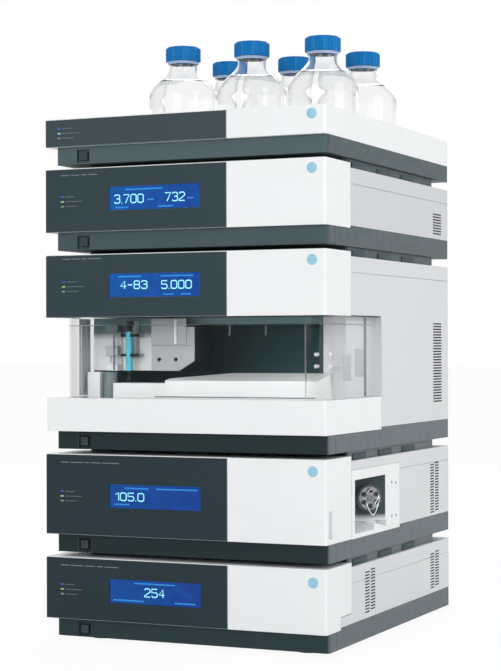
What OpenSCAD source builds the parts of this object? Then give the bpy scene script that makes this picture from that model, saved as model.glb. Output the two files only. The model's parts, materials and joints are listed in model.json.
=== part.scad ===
// Stacked liquid chromatography system: detector, column oven, autosampler,
// pump and solvent rack standing on each other, with six solvent bottles.
// Millimetres, +Z up, fronts face -Y, +X to the right seen from the front.
// The origin is under the middle of the stack, on the bench.

/* [Stack] */
// Width across the front panels
stack_w = 420; // [400:5:440]
// Depth from the front panels to the rear walls
stack_d = 510; // [490:5:560]
// Free height under each module's base
module_gap = 6.5; // [5.5:0.5:9]
// Height of each module's base
base_h = 24.3; // [23:0.1:28]
// Panel height of the detector
detector_h = 86; // [82:1:110]
// Panel height of the column oven
oven_h = 112; // [108:1:130]
// Height of the autosampler's lower cover
cover_h = 46.4; // [42:0.2:52]
// Height of the autosampler's window opening
window_h = 111.6; // [108:0.2:125]
// Height of the autosampler's upper panel
crown_h = 87; // [84:1:100]
// Panel height of the pump
pump_h = 88.5; // [84:0.5:110]
// Height of the solvent rack's walls
rack_h = 38.5; // [34:0.5:50]

/* [Front panels] */
// How far the front panels wrap round the sides
wrap_d = 90; // [80:1:100]
// Wall of the front panels
panel_t = 3; // [2.5:0.5:4]
// Width of the dark part of each front panel
fascia_w = 278; // [262:2:300]
// Thickness of the dark fascia
fascia_t = 3; // [2:0.5:4]
// Running gap round doors and covers
door_gap = 1; // [0.8:0.1:1.6]
// Radius of the front panels' upright edges
panel_r = 4; // [3.5:0.5:6]

/* [Housings] */
// How far the left side of a housing stands in behind its panel
side_inset = 12; // [11:0.5:16]
// How far a housing's lid lies below the top of its panel
lid_drop = 6.5; // [5:0.5:9]
// Depth of the lid's rim down the sides
lid_rim = 22; // [16:1:26]
// Width and depth of the line under the lid's rim
seam = 0.8; // [0.5:0.1:1.2]
// Radius of the housings' upright edges
housing_r = 5; // [3:0.5:8]
// Wall of the hollow housings
housing_t = 3; // [2:0.5:4]
// Height of a vent slot
slot_h = 2; // [1.5:0.1:2.4]
// Distance from one vent slot to the next
slot_pitch = 4.2; // [3.8:0.1:5]
// Depth of a vent slot
slot_depth = 2; // [1:0.5:3]
// Width of a vent block
vent_w = 40; // [30:1:46]
// Distance from the rear wall to the rear vent blocks
vent_rear = 51; // [45:1:60]

/* [Bases] */
// How far the bases stand in behind the panels
base_setback = 8; // [6:1:12]
// How much higher the bases are behind the panels
base_step = 4; // [2:0.5:6]
// Radius of the bases' upright edges
base_r = 6; // [4:0.5:8]
// Depth of the bases' front trim
trim_d = 25; // [20:1:30]
// Distance from the rear wall to a plinth
plinth_rear = 58; // [50:1:80]
// How far the plinths stand in from the bases' sides
plinth_inset = 6; // [4:1:10]
// Diameter of the rubber feet
foot_d = 32; // [26:1:40]
// Distance of the feet from the sides and the ends
foot_inset = 48; // [40:1:60]

/* [Displays and buttons] */
// Width of a display
display_w = 138; // [120:1:145]
// Height of a display
display_h = 32; // [28:0.5:36]
// Distance of the displays from the left edge
display_x = 100; // [96:1:110]
// Distance of a display from the panel's top
display_drop = 27.5; // [24:0.5:30]
// Distance of the oven's display from the panel's top
oven_display_drop = 40.5; // [36:0.5:46]
// Thickness of a display
display_t = 2; // [1.5:0.1:2.4]
// Distance of the buttons from the left edge
button_x = 55.5; // [50:0.5:62]
// Width of a button
button_w = 11; // [10:0.5:13]
// Width of the pocket round a button
pocket_w = 20; // [17:0.5:22]
// Travel of a button
button_travel = 2; // [1.5:0.1:2.5]
// Depth of the pocket round a button
pocket_depth = 5; // [4:0.5:8]

/* [Solvent bottles] */
// Diameter of a bottle
bottle_d = 101; // [95:1:104]
// Wall of a bottle
bottle_t = 2.5; // [2:0.1:3.5]
// Height of a bottle's straight body
body_h = 86.5; // [80:0.5:120]
// Height of a bottle's shoulder
shoulder_h = 46; // [36:1:56]
// Outer diameter of a bottle's neck
neck_d = 41; // [38:0.5:43]
// Length of a bottle's neck
neck_h = 27; // [24:0.5:34]
// Diameter of a cap
cap_d = 52; // [50:0.5:56]
// Height of a cap
cap_h = 21; // [18:0.5:24]
// Wall of a cap
cap_t = 2.6; // [2:0.1:3]
// Height of a pouring ring
ring_h = 4; // [3:0.5:5]
// Distance between the bottles of a row
bottle_pitch = 112; // [106:1:124]
// Distance between the two rows
row_pitch = 162; // [110:1:170]
// Distance of the front row from the middle of the rack
front_row = -20; // [-60:1:-15]
// Wall and floor of the rack
rack_t = 4; // [3:0.5:6]

/* [Pump] */
// Diameter of a pump head
head_d = 34; // [28:1:40]
// Distance of the heads from the middle of the pump
head_x = 60; // [45:1:70]
// How far the heads stand out
head_len = 48; // [40:1:60]
// Diameter of the purge knob
knob_d = 22; // [18:1:28]
// Length of the purge knob
knob_len = 18; // [14:1:24]

/* [Autosampler] */
// Wall of the window
window_t = 2; // [1.5:0.1:2.5]
// Radius of the window's corners
window_r = 30; // [20:1:40]
// How far the window stands in behind the panel
window_setback = 25; // [22:1:28]
// How far the lower cover reaches back
cover_d = 208; // [200:1:212]
// Upward travel of the window
window_travel = 72; // [50:1:74]
// Width of the rim round the window's groove
rim_w = 13; // [12.5:0.5:15]
// Diameter of the carousel
carousel_d = 190; // [170:1:192]
// Height of the carousel's disc
carousel_h = 12; // [8:1:16]
// Diameter of the carousel's spindle
spindle_d = 20; // [12:1:30]
// Outer diameter of the syringe
syringe_d = 9.5; // [9:0.1:11]
// Bore of the syringe
syringe_bore = 7; // [6:0.1:7.5]
// Travel of the syringe's plunger
plunger_travel = 10; // [6:0.5:10.5]
// Diameter of the sampling needle
needle_d = 1.6; // [1.2:0.1:2]
// Lift of the needle
needle_lift = 20; // [12:1:21]

/* [Column oven] */
// Width of the valve bezel
bezel_w = 191; // [180:1:196]
// Diameter of the valve's stator
stator_d = 38; // [30:1:38]
// Thickness of the valve's stator
stator_len = 8; // [6:0.5:10]
// Angle between the valve's axis and the right side
valve_turn = 45; // [35:1:55]
// Room round the stator in its recess
recess_gap = 0.8; // [0.5:0.1:2]
// Diameter of the separation column
column_d = 14; // [10:1:18]
// Length of the separation column
column_len = 180; // [120:5:220]

/* [Detector] */
// Width of the flow cell
cell_w = 58; // [50:1:70]
// Height of the flow cell
cell_h = 42; // [36:1:50]

/* [Hinges] */
// Diameter of a hinge pin
pin_d = 3; // [2.5:0.1:3.4]
// Length of a hinge knuckle
knuckle_h = 10; // [8:1:14]
// Distance of the hinge from the panel's left face
hinge_in = 5.5; // [5:0.1:6]
// Distance of the hinge from the panel's rear edge
hinge_back = 4; // [3.5:0.1:5]

/* [Hidden] */
$fn = 64;

// Clearance between parts that move or slide on each other
fit = 0.3;
// Clearance between parts that are set into each other
seat = 0.3;
// Overlap that joins the solids of one part
join = 0.2;

front_y = -stack_d / 2;
rear_y = stack_d / 2;
left_x = -stack_w / 2;
right_x = stack_w / 2;
house_left = left_x + side_inset;
base_front = front_y + base_setback;
// Rear edge of the front panels' wraps, and the housings' front faces
wrap_y = front_y + wrap_d;
house_front = wrap_y + door_gap;

// The five modules from the bottom up
DETECTOR = 0;
OVEN = 1;
SAMPLER = 2;
PUMP = 3;
RACK = 4;
sampler_h = cover_h + window_h + crown_h;
panel_h = [detector_h, oven_h, sampler_h, pump_h, rack_h];

function base_z(i) = i < 1 ? module_gap : top_z(i - 1) + module_gap;
function panel_z(i) = base_z(i) + base_h;
function top_z(i) = panel_z(i) + panel_h[i];
function lid_z(i) = top_z(i) - lid_drop;

// Front ends of the bases' higher parts
det_tongue_y = front_y + 51;
oven_bezel_end = house_front + bezel_w;
cover_rear_y = front_y + cover_d;
step_y = [house_front, oven_bezel_end, cover_rear_y + door_gap, house_front, rear_y];

// ---- shared shapes --------------------------------------------------------

// Block between two corners
module block(lo, hi) {
    translate(lo) cube(hi - lo);
}

// Rectangle between two corners with round corners
module round_rect(lo, hi, r) {
    translate([lo[0] + r, lo[1]]) square([hi[0] - lo[0] - 2 * r, hi[1] - lo[1]]);
    translate([lo[0], lo[1] + r]) square([hi[0] - lo[0], hi[1] - lo[1] - 2 * r]);
    for (x = [lo[0] + r, hi[0] - r], y = [lo[1] + r, hi[1] - r]) {
        translate([x, y]) circle(r);
    }
}

// Block with round upright edges
module round_block(lo, hi, r) {
    translate([0, 0, lo[2]]) linear_extrude(hi[2] - lo[2]) {
        round_rect([lo[0], lo[1]], [hi[0], hi[1]], r);
    }
}

// Upright cylinder at a point
module post(p, d, h) {
    translate(p) cylinder(d = d, h = h);
}

// Cylinder along Y, from a point towards the front
module boss(p, d, len) {
    translate(p) rotate([90, 0, 0]) cylinder(d = d, h = len);
}

// Cylinder along X, from a point towards the right
module rod_x(p, d, len) {
    translate(p) rotate([0, 90, 0]) cylinder(d = d, h = len);
}

// ---- parts that several modules share -------------------------------------

button_xc = left_x + button_x;
function button_zc(i) = base_z(i) + base_h * 0.45;
// Depth of the well that holds a button's stem
well_depth = pocket_depth + 8;

// Base of one module, with its front trim line and the button's pocket
module base(i) {
    z0 = base_z(i);
    half_w = pocket_w / 2;
    zc = button_zc(i);
    well_w = button_w / 2 + fit;
    difference() {
        union() {
            round_block([house_left, base_front, z0], [right_x, rear_y, z0 + base_h], base_r);
            if (step_y[i] < rear_y) {
                round_block([house_left, step_y[i], z0 + base_r],
                    [right_x, rear_y, z0 + base_h + base_step], base_r);
            }
        }
        for (x = [house_left - join, right_x - seam]) {
            block([x, base_front + trim_d, z0 - join],
                [x + seam + join, base_front + trim_d + seam, z0 + base_h + join]);
        }
        block([button_xc - half_w, base_front - join, zc - half_w + 1],
            [button_xc + half_w, base_front + pocket_depth, zc + half_w - 1]);
        block([button_xc - well_w, base_front, zc - well_w],
            [button_xc + well_w, base_front + well_depth, zc + well_w]);
    }
}

// Recessed plinth that carries one module on the lid of the one below
module plinth(i) {
    round_block([house_left + plinth_inset, house_front, lid_z(i - 1)],
        [right_x - plinth_inset, rear_y - plinth_rear, base_z(i) + join], base_r);
}

// Power button of one module
module button(i) {
    zc = button_zc(i);
    cap_y = base_front + 1;
    stem_y = base_front + well_depth - button_travel - fit;
    color("#3a474c") {
        difference() {
            block([button_xc - button_w / 2, cap_y, zc - button_w / 2],
                [button_xc + button_w / 2, stem_y, zc + button_w / 2]);
            boss([button_xc, cap_y + 0.6, zc], button_w * 0.6, 2);
        }
    }
}

// Vent slots in the plane x, on the side that faces dir (1 right, -1 left)
module vents(x, dir, y0, z0, z1, columns) {
    rows = floor((z1 - z0) / slot_pitch);
    bridge = 4;
    slot_w = (vent_w - bridge * (columns - 1)) / columns;
    for (r = [0 : rows - 1], c = [0 : columns - 1]) {
        stagger = columns > 1 ? c * slot_pitch / 2 : 0;
        translate([x - slot_depth * (dir + 1) / 2 - join * (1 - dir) / 2,
            y0 + c * (slot_w + bridge), z0 + r * slot_pitch + stagger]) {
            cube([slot_depth + join, slot_w, slot_h]);
        }
    }
}

// Vent slots on both sides of a housing
module side_vents(y0, z0, z1, columns) {
    vents(right_x, 1, y0, z0, z1, columns);
    vents(house_left, -1, y0, z0, z1, columns);
}

// Line under the lid's rim, on both sides and the rear
module lid_seam(i, y0) {
    z = lid_z(i) - lid_rim;
    block([right_x - seam, y0, z], [right_x + join, rear_y + join, z + seam]);
    block([house_left - join, y0, z], [house_left + seam, rear_y + join, z + seam]);
    block([house_left - join, rear_y - seam, z], [right_x + join, rear_y + join, z + seam]);
}

// Rear connections: mains inlet, two signal sockets and a fan grille
module rear_panel(i) {
    z = panel_z(i) + base_step + 30;
    inlet = [27, 8, 20];
    socket = [22, 1.5, 12];
    fan_d = 56;
    translate([right_x - 70, rear_y - inlet[1], z - inlet[2] / 2]) {
        cube([inlet[0], inlet[1] + join, inlet[2]]);
    }
    for (k = [0, 1]) {
        translate([right_x - 150 - 44 * k, rear_y - socket[1], z - socket[2] / 2]) {
            cube([socket[0], socket[1] + join, socket[2]]);
        }
    }
    for (k = [-4 : 4]) {
        half = sqrt(pow(fan_d / 2, 2) - pow(k * 6, 2)) * 0.8;
        translate([house_left + 60 + k * 6, rear_y - slot_depth, z - half]) {
            cube([3, slot_depth + join, 2 * half]);
        }
    }
}

// Contact pins of a mains inlet
module inlet_pins(i) {
    z = panel_z(i) + base_step + 30;
    for (p = [[-7, -2], [0, 2], [7, -2]]) {
        translate([right_x - 70 + 13.5 + p[0] - 1, rear_y - 8 - join, z + p[1] - 2]) {
            cube([2, 6 + join, 4]);
        }
    }
}

// Closed housing of one module behind its door
module closed_housing(i) {
    z0 = panel_z(i);
    difference() {
        union() {
            round_block([house_left, house_front, z0], [right_x, rear_y, lid_z(i)], housing_r);
            hinge_lugs(i);
        }
        base_clear(i);
        lid_seam(i, house_front - join);
        rear_panel(i);
    }
    inlet_pins(i);
}

// Space that the higher part of a base takes out of its housing
module base_clear(i) {
    z0 = panel_z(i);
    block([house_left - join, step_y[i] - join, z0 - join],
        [right_x + join, rear_y + join, z0 + base_step]);
}

// ---- hinged doors ----------------------------------------------------------

pivot = [left_x + hinge_in, wrap_y - hinge_back];
knuckle_d = 7;
lug_h = 3;
// Distance of the two knuckles from the door's bottom and top
knuckle_end = 12;

function knuckle_zs(i) = [panel_z(i) + knuckle_end, top_z(i) - knuckle_end - knuckle_h];

// Lugs on the housing, each with the pin that carries a knuckle
module hinge_lugs(i) {
    arm_x = house_left + 8;
    arm_w = 5;
    for (z = knuckle_zs(i)) {
        post([pivot[0], pivot[1], z - fit - lug_h], knuckle_d, lug_h);
        block([pivot[0], pivot[1] - arm_w / 2, z - fit - lug_h],
            [arm_x, pivot[1] + arm_w / 2, z - fit]);
        block([arm_x - arm_w, pivot[1] - arm_w / 2, z - fit - lug_h],
            [arm_x, house_front + join, z - fit]);
        post([pivot[0], pivot[1], z - fit - join], pin_d, knuckle_h + join);
    }
}

// Door: a shell that wraps round both sides, with its two hinge knuckles.
module door_shell(i) {
    z0 = panel_z(i) + door_gap / 2;
    z1 = top_z(i);
    clear = 2 * fit;
    difference() {
        union() {
            difference() {
                round_block([left_x, front_y, z0], [right_x, wrap_y + panel_r, z1], panel_r);
                block([left_x - join, wrap_y, z0 - join],
                    [right_x + join, wrap_y + 2 * panel_r, z1 + join]);
                block([left_x + panel_t, front_y + fascia_t + panel_t, z0 + panel_t],
                    [right_x - panel_t, wrap_y + join, z1 - panel_t]);
            }
            for (z = knuckle_zs(i)) {
                post([pivot[0], pivot[1], z], knuckle_d, knuckle_h);
            }
        }
        fascia_pocket(i, z0);
        for (z = knuckle_zs(i)) {
            post([pivot[0], pivot[1], z - join], pin_d + clear, knuckle_h + 2 * join);
            block([left_x - join, pivot[1] - knuckle_d / 2 - clear, z - lug_h - 3 * fit],
                [pivot[0], wrap_y + join, z]);
        }
    }
}

// Height of the white edge that shows above a dark fascia
white_edge = 1;

// Space for the dark fascia in the front of a panel that starts at z0
module fascia_pocket(i, z0) {
    block([left_x - join, front_y - join, z0 - join],
        [left_x + fascia_w, front_y + fascia_t, top_z(i) - white_edge]);
}

function display_top(i) = top_z(i) - (i == OVEN ? oven_display_drop : display_drop);

// Dark fascia of a panel that starts at z0, with the display's opening
module fascia(i, z0) {
    z1 = top_z(i) - white_edge - seat;
    x0 = left_x + display_x;
    z_top = display_top(i);
    color("#3d4a4f") {
        difference() {
            block([left_x, front_y, z0], [left_x + fascia_w - seat, front_y + fascia_t, z1]);
            block([x0 - seat, front_y - join, z_top - display_h - seat],
                [x0 + display_w + seat, front_y + fascia_t + join, z_top + seat]);
        }
    }
}

// Dark fascia of a door
module door_fascia(i) {
    fascia(i, panel_z(i) + door_gap / 2);
}

// Display, set into the fascia against the panel behind it
module display(i) {
    x0 = left_x + display_x;
    z_top = display_top(i);
    y1 = front_y + fascia_t;
    color("#2563a8") {
        block([x0, y1 - display_t, z_top - display_h], [x0 + display_w, y1, z_top]);
    }
}

// ---- solvent rack ----------------------------------------------------------

rack_floor = panel_z(RACK) + rack_t;
// Bottle places: front row a, c, e and rear row b, d, f, from left to right
function bottle_xy(k) =
    [(floor(k / 2) - 1) * bottle_pitch, front_row + (k % 2) * row_pitch];
seat_ring_h = 1.5;

module rack_base() {
    color("#3f4c50") {
        base(RACK);
        plinth(RACK);
    }
}

// Open tray with round rear corners, a seat for each bottle and a tube notch
module rack_tray() {
    z0 = panel_z(RACK);
    z1 = top_z(RACK);
    end_r = 15;
    notch_w = 40;
    color("#eef0f1") {
        difference() {
            union() {
                difference() {
                    round_block([left_x, front_y, z0], [right_x, rear_y, z1], panel_r);
                    round_block([left_x + rack_t, front_y + fascia_t + rack_t, rack_floor],
                        [right_x - rack_t, rear_y - rack_t, z1 + join], panel_r);
                }
                for (k = [0 : 5]) {
                    p = bottle_xy(k);
                    difference() {
                        post([p[0], p[1], rack_floor - join], bottle_d + 5, seat_ring_h + join);
                        post([p[0], p[1], rack_floor - 2 * join], bottle_d + 1, 2 * rack_t);
                    }
                }
            }
            fascia_pocket(RACK, z0);
            difference() {
                block([left_x - join, rear_y - end_r, z1 - end_r],
                    [right_x + join, rear_y + join, z1 + join]);
                rod_x([left_x - 2 * join, rear_y - end_r, z1 - end_r], 2 * end_r,
                    stack_w + 4 * join);
            }
            block([-notch_w / 2, rear_y - rack_t - join, z1 - 18],
                [notch_w / 2, rear_y + join, z1 + join]);
        }
    }
}

module rack_fascia() {
    color("#3d4a4f") {
        block([left_x, front_y, panel_z(RACK)],
            [left_x + fascia_w - seat, front_y + fascia_t, top_z(RACK) - white_edge - seat]);
    }
}

// Radius of the bottle's outside at the height h above its foot
function bottle_r(h) =
    let (t = min(max((h - body_h) / shoulder_h, 0), 1))
    neck_d / 2 + (bottle_d - neck_d) / 2 * (1 + cos(180 * pow(t, 1.15))) / 2;

// Bottle: foot, straight body, curved shoulder and neck with an even wall
module bottle(k) {
    p = bottle_xy(k);
    steps = 14;
    foot_r = 5;
    top = body_h + shoulder_h + neck_h;
    shoulder = [for (s = [0 : steps]) body_h + shoulder_h * s / steps];
    arc = [for (a = [0 : 30 : 90]) a];
    outer = concat(
        [for (a = arc) [bottle_d / 2 - foot_r + foot_r * sin(a), foot_r - foot_r * cos(a)]],
        [for (h = shoulder) [bottle_r(h), h]], [[neck_d / 2, top]]);
    inner = concat([[neck_d / 2 - bottle_t, top]],
        [for (s = [steps : -1 : 0]) [bottle_r(shoulder[s]) - bottle_t, shoulder[s] - 1]],
        [[bottle_d / 2 - bottle_t, foot_r + 1], [bottle_d / 2 - foot_r - 1, bottle_t + 1]],
        [[0, bottle_t + 1], [0, 0]]);
    color("#e8f0f2") {
        translate([p[0], p[1], rack_floor]) rotate_extrude() polygon(concat(outer, inner));
    }
}

neck_top = rack_floor + body_h + shoulder_h + neck_h;
cap_z = neck_top + fit + cap_t - cap_h;

// Ribbed screw cap, open below
module cap(k) {
    p = bottle_xy(k);
    ribs = 32;
    rib_h = 1;
    edge = 2;
    r = cap_d / 2;
    color("#0a6fb5") {
        translate([p[0], p[1], cap_z]) difference() {
            intersection() {
                linear_extrude(cap_h) polygon([for (s = [0 : 2 * ribs - 1])
                    let (q = s % 2 == 0 ? r : r - rib_h, a = 180 * s / ribs)
                    [q * cos(a), q * sin(a)]]);
                rotate_extrude() polygon([[0, 0], [r + 1, 0], [r + 1, cap_h - edge],
                    [r - 0.4, cap_h - edge], [r - edge, cap_h], [0, cap_h]]);
            }
            translate([0, 0, -join]) cylinder(d = cap_d - 2 * cap_t - 1, h = cap_h - cap_t + join);
        }
    }
}

// Pouring rings, one on each neck under the cap
module pouring_rings() {
    z = cap_z - ring_h - fit;
    color("#7fa6cf") {
        for (k = [0 : 5]) {
            p = bottle_xy(k);
            translate([p[0], p[1], z]) rotate_extrude() polygon([
                [neck_d / 2 + fit, 0], [neck_d / 2 + 1.5, 0], [neck_d / 2 + 3, ring_h],
                [neck_d / 2 + fit, ring_h]]);
        }
    }
}

// ---- pump ------------------------------------------------------------------

module pump_base() {
    color("#3f4c50") {
        base(PUMP);
        plinth(PUMP);
    }
}

// Distance from a base's top to the lowest vent slot
vent_up = 11;

module pump_housing() {
    z0 = panel_z(PUMP) + vent_up;
    color("#d3d6d8") difference() {
        closed_housing(PUMP);
        side_vents(rear_y - vent_rear - vent_w + 16, z0, z0 + 34, 1);
    }
}

module pump_door() {
    color("#eef0f1") door_shell(PUMP);
}

pump_zc = panel_z(PUMP) + pump_h * 0.48;
head_seat = house_front;

// Two heads, each with an inlet and an outlet valve cartridge, on one plate
module pump_heads() {
    plate_t = 6;
    valve_d = 15;
    valve_h = 13;
    half_h = pump_h * 0.33;
    color("#c4c8ca") {
        block([-head_x - head_d * 0.8, head_seat - plate_t, pump_zc - half_h],
            [head_x + head_d * 0.8, head_seat, pump_zc + half_h]);
        for (s = [-1, 1]) {
            boss([s * head_x, head_seat, pump_zc], head_d, head_len);
            boss([s * head_x, head_seat, pump_zc], head_d - 8, head_len + 5);
            for (v = [-1, 1]) {
                translate([s * head_x, head_seat - head_len * 0.6,
                    pump_zc + (v > 0 ? head_d / 2 - 3 : -head_d / 2 + 3 - valve_h)]) {
                    cylinder(d = valve_d, h = valve_h);
                }
            }
        }
        boss([0, head_seat, pump_zc], knob_d - 2, 12);
    }
}

knob_seat = head_seat - 12 - fit;

// Knurled knob of the purge valve
module purge_knob() {
    lobes = 12;
    r = knob_d / 2;
    color("#2c3336") {
        translate([0, knob_seat, pump_zc]) rotate([90, 0, 0]) linear_extrude(knob_len) {
            difference() {
                circle(r);
                for (s = [0 : lobes - 1]) {
                    rotate(360 * s / lobes) translate([r + 0.6, 0]) circle(1.6);
                }
            }
        }
    }
}

// ---- autosampler -----------------------------------------------------------

samp_z = panel_z(SAMPLER);
cover_top = samp_z + cover_h;
crown_z = cover_top + window_h;
samp_top = top_z(SAMPLER);
// The sampler's chamber inside its dark liner
liner_front = front_y + 105;
liner_rear = rear_y - 135;
liner_left = house_left + 6;
liner_right = right_x - 46;
liner_wall = 6;
deck_top = cover_top + 1.2;
roof_z = crown_z - 10;
// Inside of the cover's rim, clear of everything in the chamber
rim_x = right_x - rim_w;
// Left face of the housing where the window slides up beside it
guide_x = house_left + 8;

module sampler_base() {
    color("#3f4c50") {
        base(SAMPLER);
        plinth(SAMPLER);
    }
}

// Hollow housing with openings for the window at both sides, and the right jamb
module sampler_housing() {
    z0 = samp_z;
    z1 = lid_z(SAMPLER);
    t = housing_t;
    y0 = cover_rear_y + door_gap;
    block_y = liner_rear + seat;
    vent_z = z0 + 32;
    color("#dcdfe0") difference() {
        union() {
            difference() {
                round_block([house_left, house_front, z0], [right_x, rear_y, z1], housing_r);
                block([house_left + t, house_front - join, z0 - join],
                    [right_x - t, block_y, z1 - t]);
                block([house_left - join, house_front - join, z0 - join],
                    [right_x + join, y0, crown_z + door_gap]);
                block([house_left - join, house_front - join, z0], [guide_x, y0, z1 + join]);
            }
            // Inner wall beside the window's way at the left
            block([guide_x, house_front, crown_z + door_gap], [guide_x + t, y0 + join, z1]);
            // Right jamb
            block([liner_right + seat, liner_front, z0],
                [rim_x - door_gap, y0 + join, crown_z]);
            block([liner_right + seat, y0, z0],
                [right_x - t + join, block_y + join, crown_z]);
        }
        base_clear(SAMPLER);
        lid_seam(SAMPLER, house_front - join);
        rear_panel(SAMPLER);
        side_vents(rear_y - vent_rear - vent_w + 16, vent_z, vent_z + 122, 1);
    }
    inlet_pins(SAMPLER);
}

// Fixed upper panel, open below, which the window slides up into
module sampler_crown() {
    t = panel_t;
    flange_x = 150;
    stop_x = 140;
    stop_w = 16;
    window_y = front_y + window_setback + window_t / 2;
    stop_z = crown_z + window_over + window_travel + fit;
    color("#eef0f1") {
        difference() {
            round_block([left_x, front_y, crown_z], [right_x, house_front + panel_r, samp_top],
                panel_r);
            block([left_x - join, house_front, crown_z - join],
                [right_x + join, house_front + 2 * panel_r, samp_top + join]);
            block([left_x + t, front_y + fascia_t + t, crown_z - join],
                [right_x - t, house_front + join, samp_top - t]);
            fascia_pocket(SAMPLER, crown_z);
        }
        // Flange that is screwed to the front edge of the housing's lid
        block([-flange_x, house_front - t, lid_z(SAMPLER) - t],
            [flange_x, house_front, samp_top - t + join]);
        // Stops over the window
        for (x = [-stop_x, stop_x]) {
            block([x - stop_w / 2, window_y - stop_w / 4, stop_z],
                [x + stop_w / 2, window_y + stop_w / 4, samp_top - t + join]);
        }
    }
}

module sampler_fascia() {
    fascia(SAMPLER, crown_z);
}

// Outline of the window seen from above, grown by g on both faces
module window_outline(g) {
    w = rim_x + window_t + 1;
    y0 = front_y + window_setback;
    y1 = cover_rear_y - 11;
    r = window_r;
    difference() {
        round_rect([-w - g, y0 - g], [w + g, y1 + r], r + g);
        round_rect([-w + window_t + g, y0 + window_t + g],
            [w - window_t - g, y1 + 2 * r], r - window_t - g);
        translate([-stack_w, y1 + g]) square([2 * stack_w, 3 * r]);
    }
}

window_foot = 8;
window_over = 3;

// Clear window, bent round both front corners, which slides up into the crown
module sampler_window() {
    color([0.85, 0.9, 0.92, 0.35]) {
        translate([0, 0, cover_top - window_foot]) {
            linear_extrude(window_h + window_foot + window_over) window_outline(0);
        }
    }
}

// Lower cover with the groove that the window stands in
module sampler_cover() {
    z0 = samp_z + door_gap / 2;
    t = panel_t;
    y0 = front_y + window_setback + 5;
    color("#eef0f1") difference() {
        round_block([left_x, front_y, z0], [right_x, cover_rear_y + panel_r, cover_top], panel_r);
        block([left_x - join, cover_rear_y, z0 - join],
            [right_x + join, cover_rear_y + 2 * panel_r, cover_top + join]);
        translate([0, 0, z0 - join]) linear_extrude(cover_h) {
            round_rect([-rim_x, y0], [rim_x, cover_rear_y + window_r], window_r - window_t - 1);
        }
        // Hollow under the front ledge and under both side rims
        block([left_x + t, front_y + t, z0 - join],
            [right_x - t, front_y + window_setback - t, cover_top - t]);
        translate([0, 0, cover_top - window_foot]) {
            linear_extrude(window_foot + join) window_outline(seat);
        }
    }
}

// Room between the carousel and the chamber's right and rear walls
carousel_gap = [15, 29];
spindle = [liner_right - liner_wall - carousel_gap[0] - carousel_d / 2,
    liner_rear - liner_wall - carousel_gap[1] - carousel_d / 2];
spindle_h = carousel_h + 6;

// Dark liner of the sample chamber, open at the front, with the spindle
module chamber_liner() {
    w = liner_wall;
    color("#28363a") {
        difference() {
            block([liner_left, liner_front, samp_z], [liner_right, liner_rear, crown_z]);
            block([liner_left + w, liner_front - join, deck_top],
                [liner_right - w, liner_rear - w, roof_z]);
            block([liner_left - join, cover_rear_y - join, samp_z - join],
                [liner_right + join, liner_rear + join, samp_z + base_step]);
        }
        post([spindle[0], spindle[1], deck_top - join], spindle_d, spindle_h + join);
    }
}

// Carousel disc with a well for each of its three sample plates
module carousel() {
    z0 = deck_top + 3;
    well = [66, 46];
    color("#1f2a2e") {
        difference() {
            union() {
                post([spindle[0], spindle[1], z0], carousel_d, carousel_h);
                post([spindle[0], spindle[1], deck_top + fit], spindle_d + 16, 4);
            }
            post([spindle[0], spindle[1], z0 - 5], spindle_d + 2 * fit, carousel_h + 10);
            for (s = [0 : 2]) {
                translate([spindle[0], spindle[1], z0 + 4]) rotate(120 * s + 90) {
                    translate([26, -well[0] / 2, 0]) cube([well[1], well[0], carousel_h]);
                }
            }
        }
    }
}

// Left unit: white panel, the needle's rail, its two brackets and its rod
panel_right = liner_left + 104;
panel_bottom = cover_top + 37;
panel_face = liner_front;
rod_xy = [liner_left + 45, liner_front - 16];
rod_d = 3;
bracket_h = 8;

module needle_panel() {
    w = liner_wall;
    b = bracket_h;
    rail_x = rod_xy[0] - 17;
    upper_z = arm_z + arm_h + needle_lift + fit;
    color("#dfe2e3") {
        block([liner_left + w, panel_face, panel_bottom], [panel_right, liner_front + 90, roof_z]);
        block([rail_x, panel_face - 6, panel_bottom], [rod_xy[0] + 2, panel_face + join, roof_z]);
        for (z = [panel_bottom, upper_z]) {
            difference() {
                block([rail_x + 4, rod_xy[1] - 5, z],
                    [rod_xy[0] + 4, panel_face - 6 + join, z + b]);
                post([needle_xy[0], needle_xy[1], z - join], needle_d + 3, b + 2 * join);
            }
        }
        post([rod_xy[0], rod_xy[1], panel_bottom + join], rod_d, roof_z - panel_bottom - 2 * join);
    }
}

arm_z = panel_bottom + bracket_h + 13;
arm_h = 14;
needle_xy = [rod_xy[0] - 9, rod_xy[1]];

// Arm that rides up the rod and carries the needle
module needle_arm() {
    reach = 15;
    color("#2c3336") difference() {
        union() {
            block([rod_xy[0] - reach, rod_xy[1] - 5, arm_z], [rod_xy[0] + 4, rod_xy[1] + 5, arm_z + arm_h]);
            post([needle_xy[0], needle_xy[1], arm_z - 10], needle_d, 10 + join);
        }
        post([rod_xy[0], rod_xy[1], arm_z - join], rod_d + 2 * fit, arm_h + 2 * join);
    }
}

syringe_xy = [liner_left + 69, liner_front - 22];
syringe_z = panel_bottom;
syringe_len = 55;

// Black syringe mount: two clips and the valve head above the barrel
module syringe_mount() {
    clip_w = 24;
    clip_h = 4;
    head_top = roof_z + 6;
    x = syringe_xy[0];
    y = syringe_xy[1];
    color("#20292c") {
        difference() {
            for (z = [syringe_z + 20, syringe_z + syringe_len - 7]) {
                block([x - clip_w / 2, y - 4, z], [x + clip_w / 2, panel_face - seat, z + clip_h]);
            }
            post([x, y, syringe_z], syringe_d + 2 * seat, syringe_len);
        }
        block([x - 5, y + 9, syringe_z + 18], [x + 5, panel_face - seat, head_top]);
        post([x, y, syringe_z + syringe_len + seat], 8, head_top - syringe_z - syringe_len - seat);
        block([x - 3, y, head_top - 8], [x + 3, y + 10, head_top]);
    }
}

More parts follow.
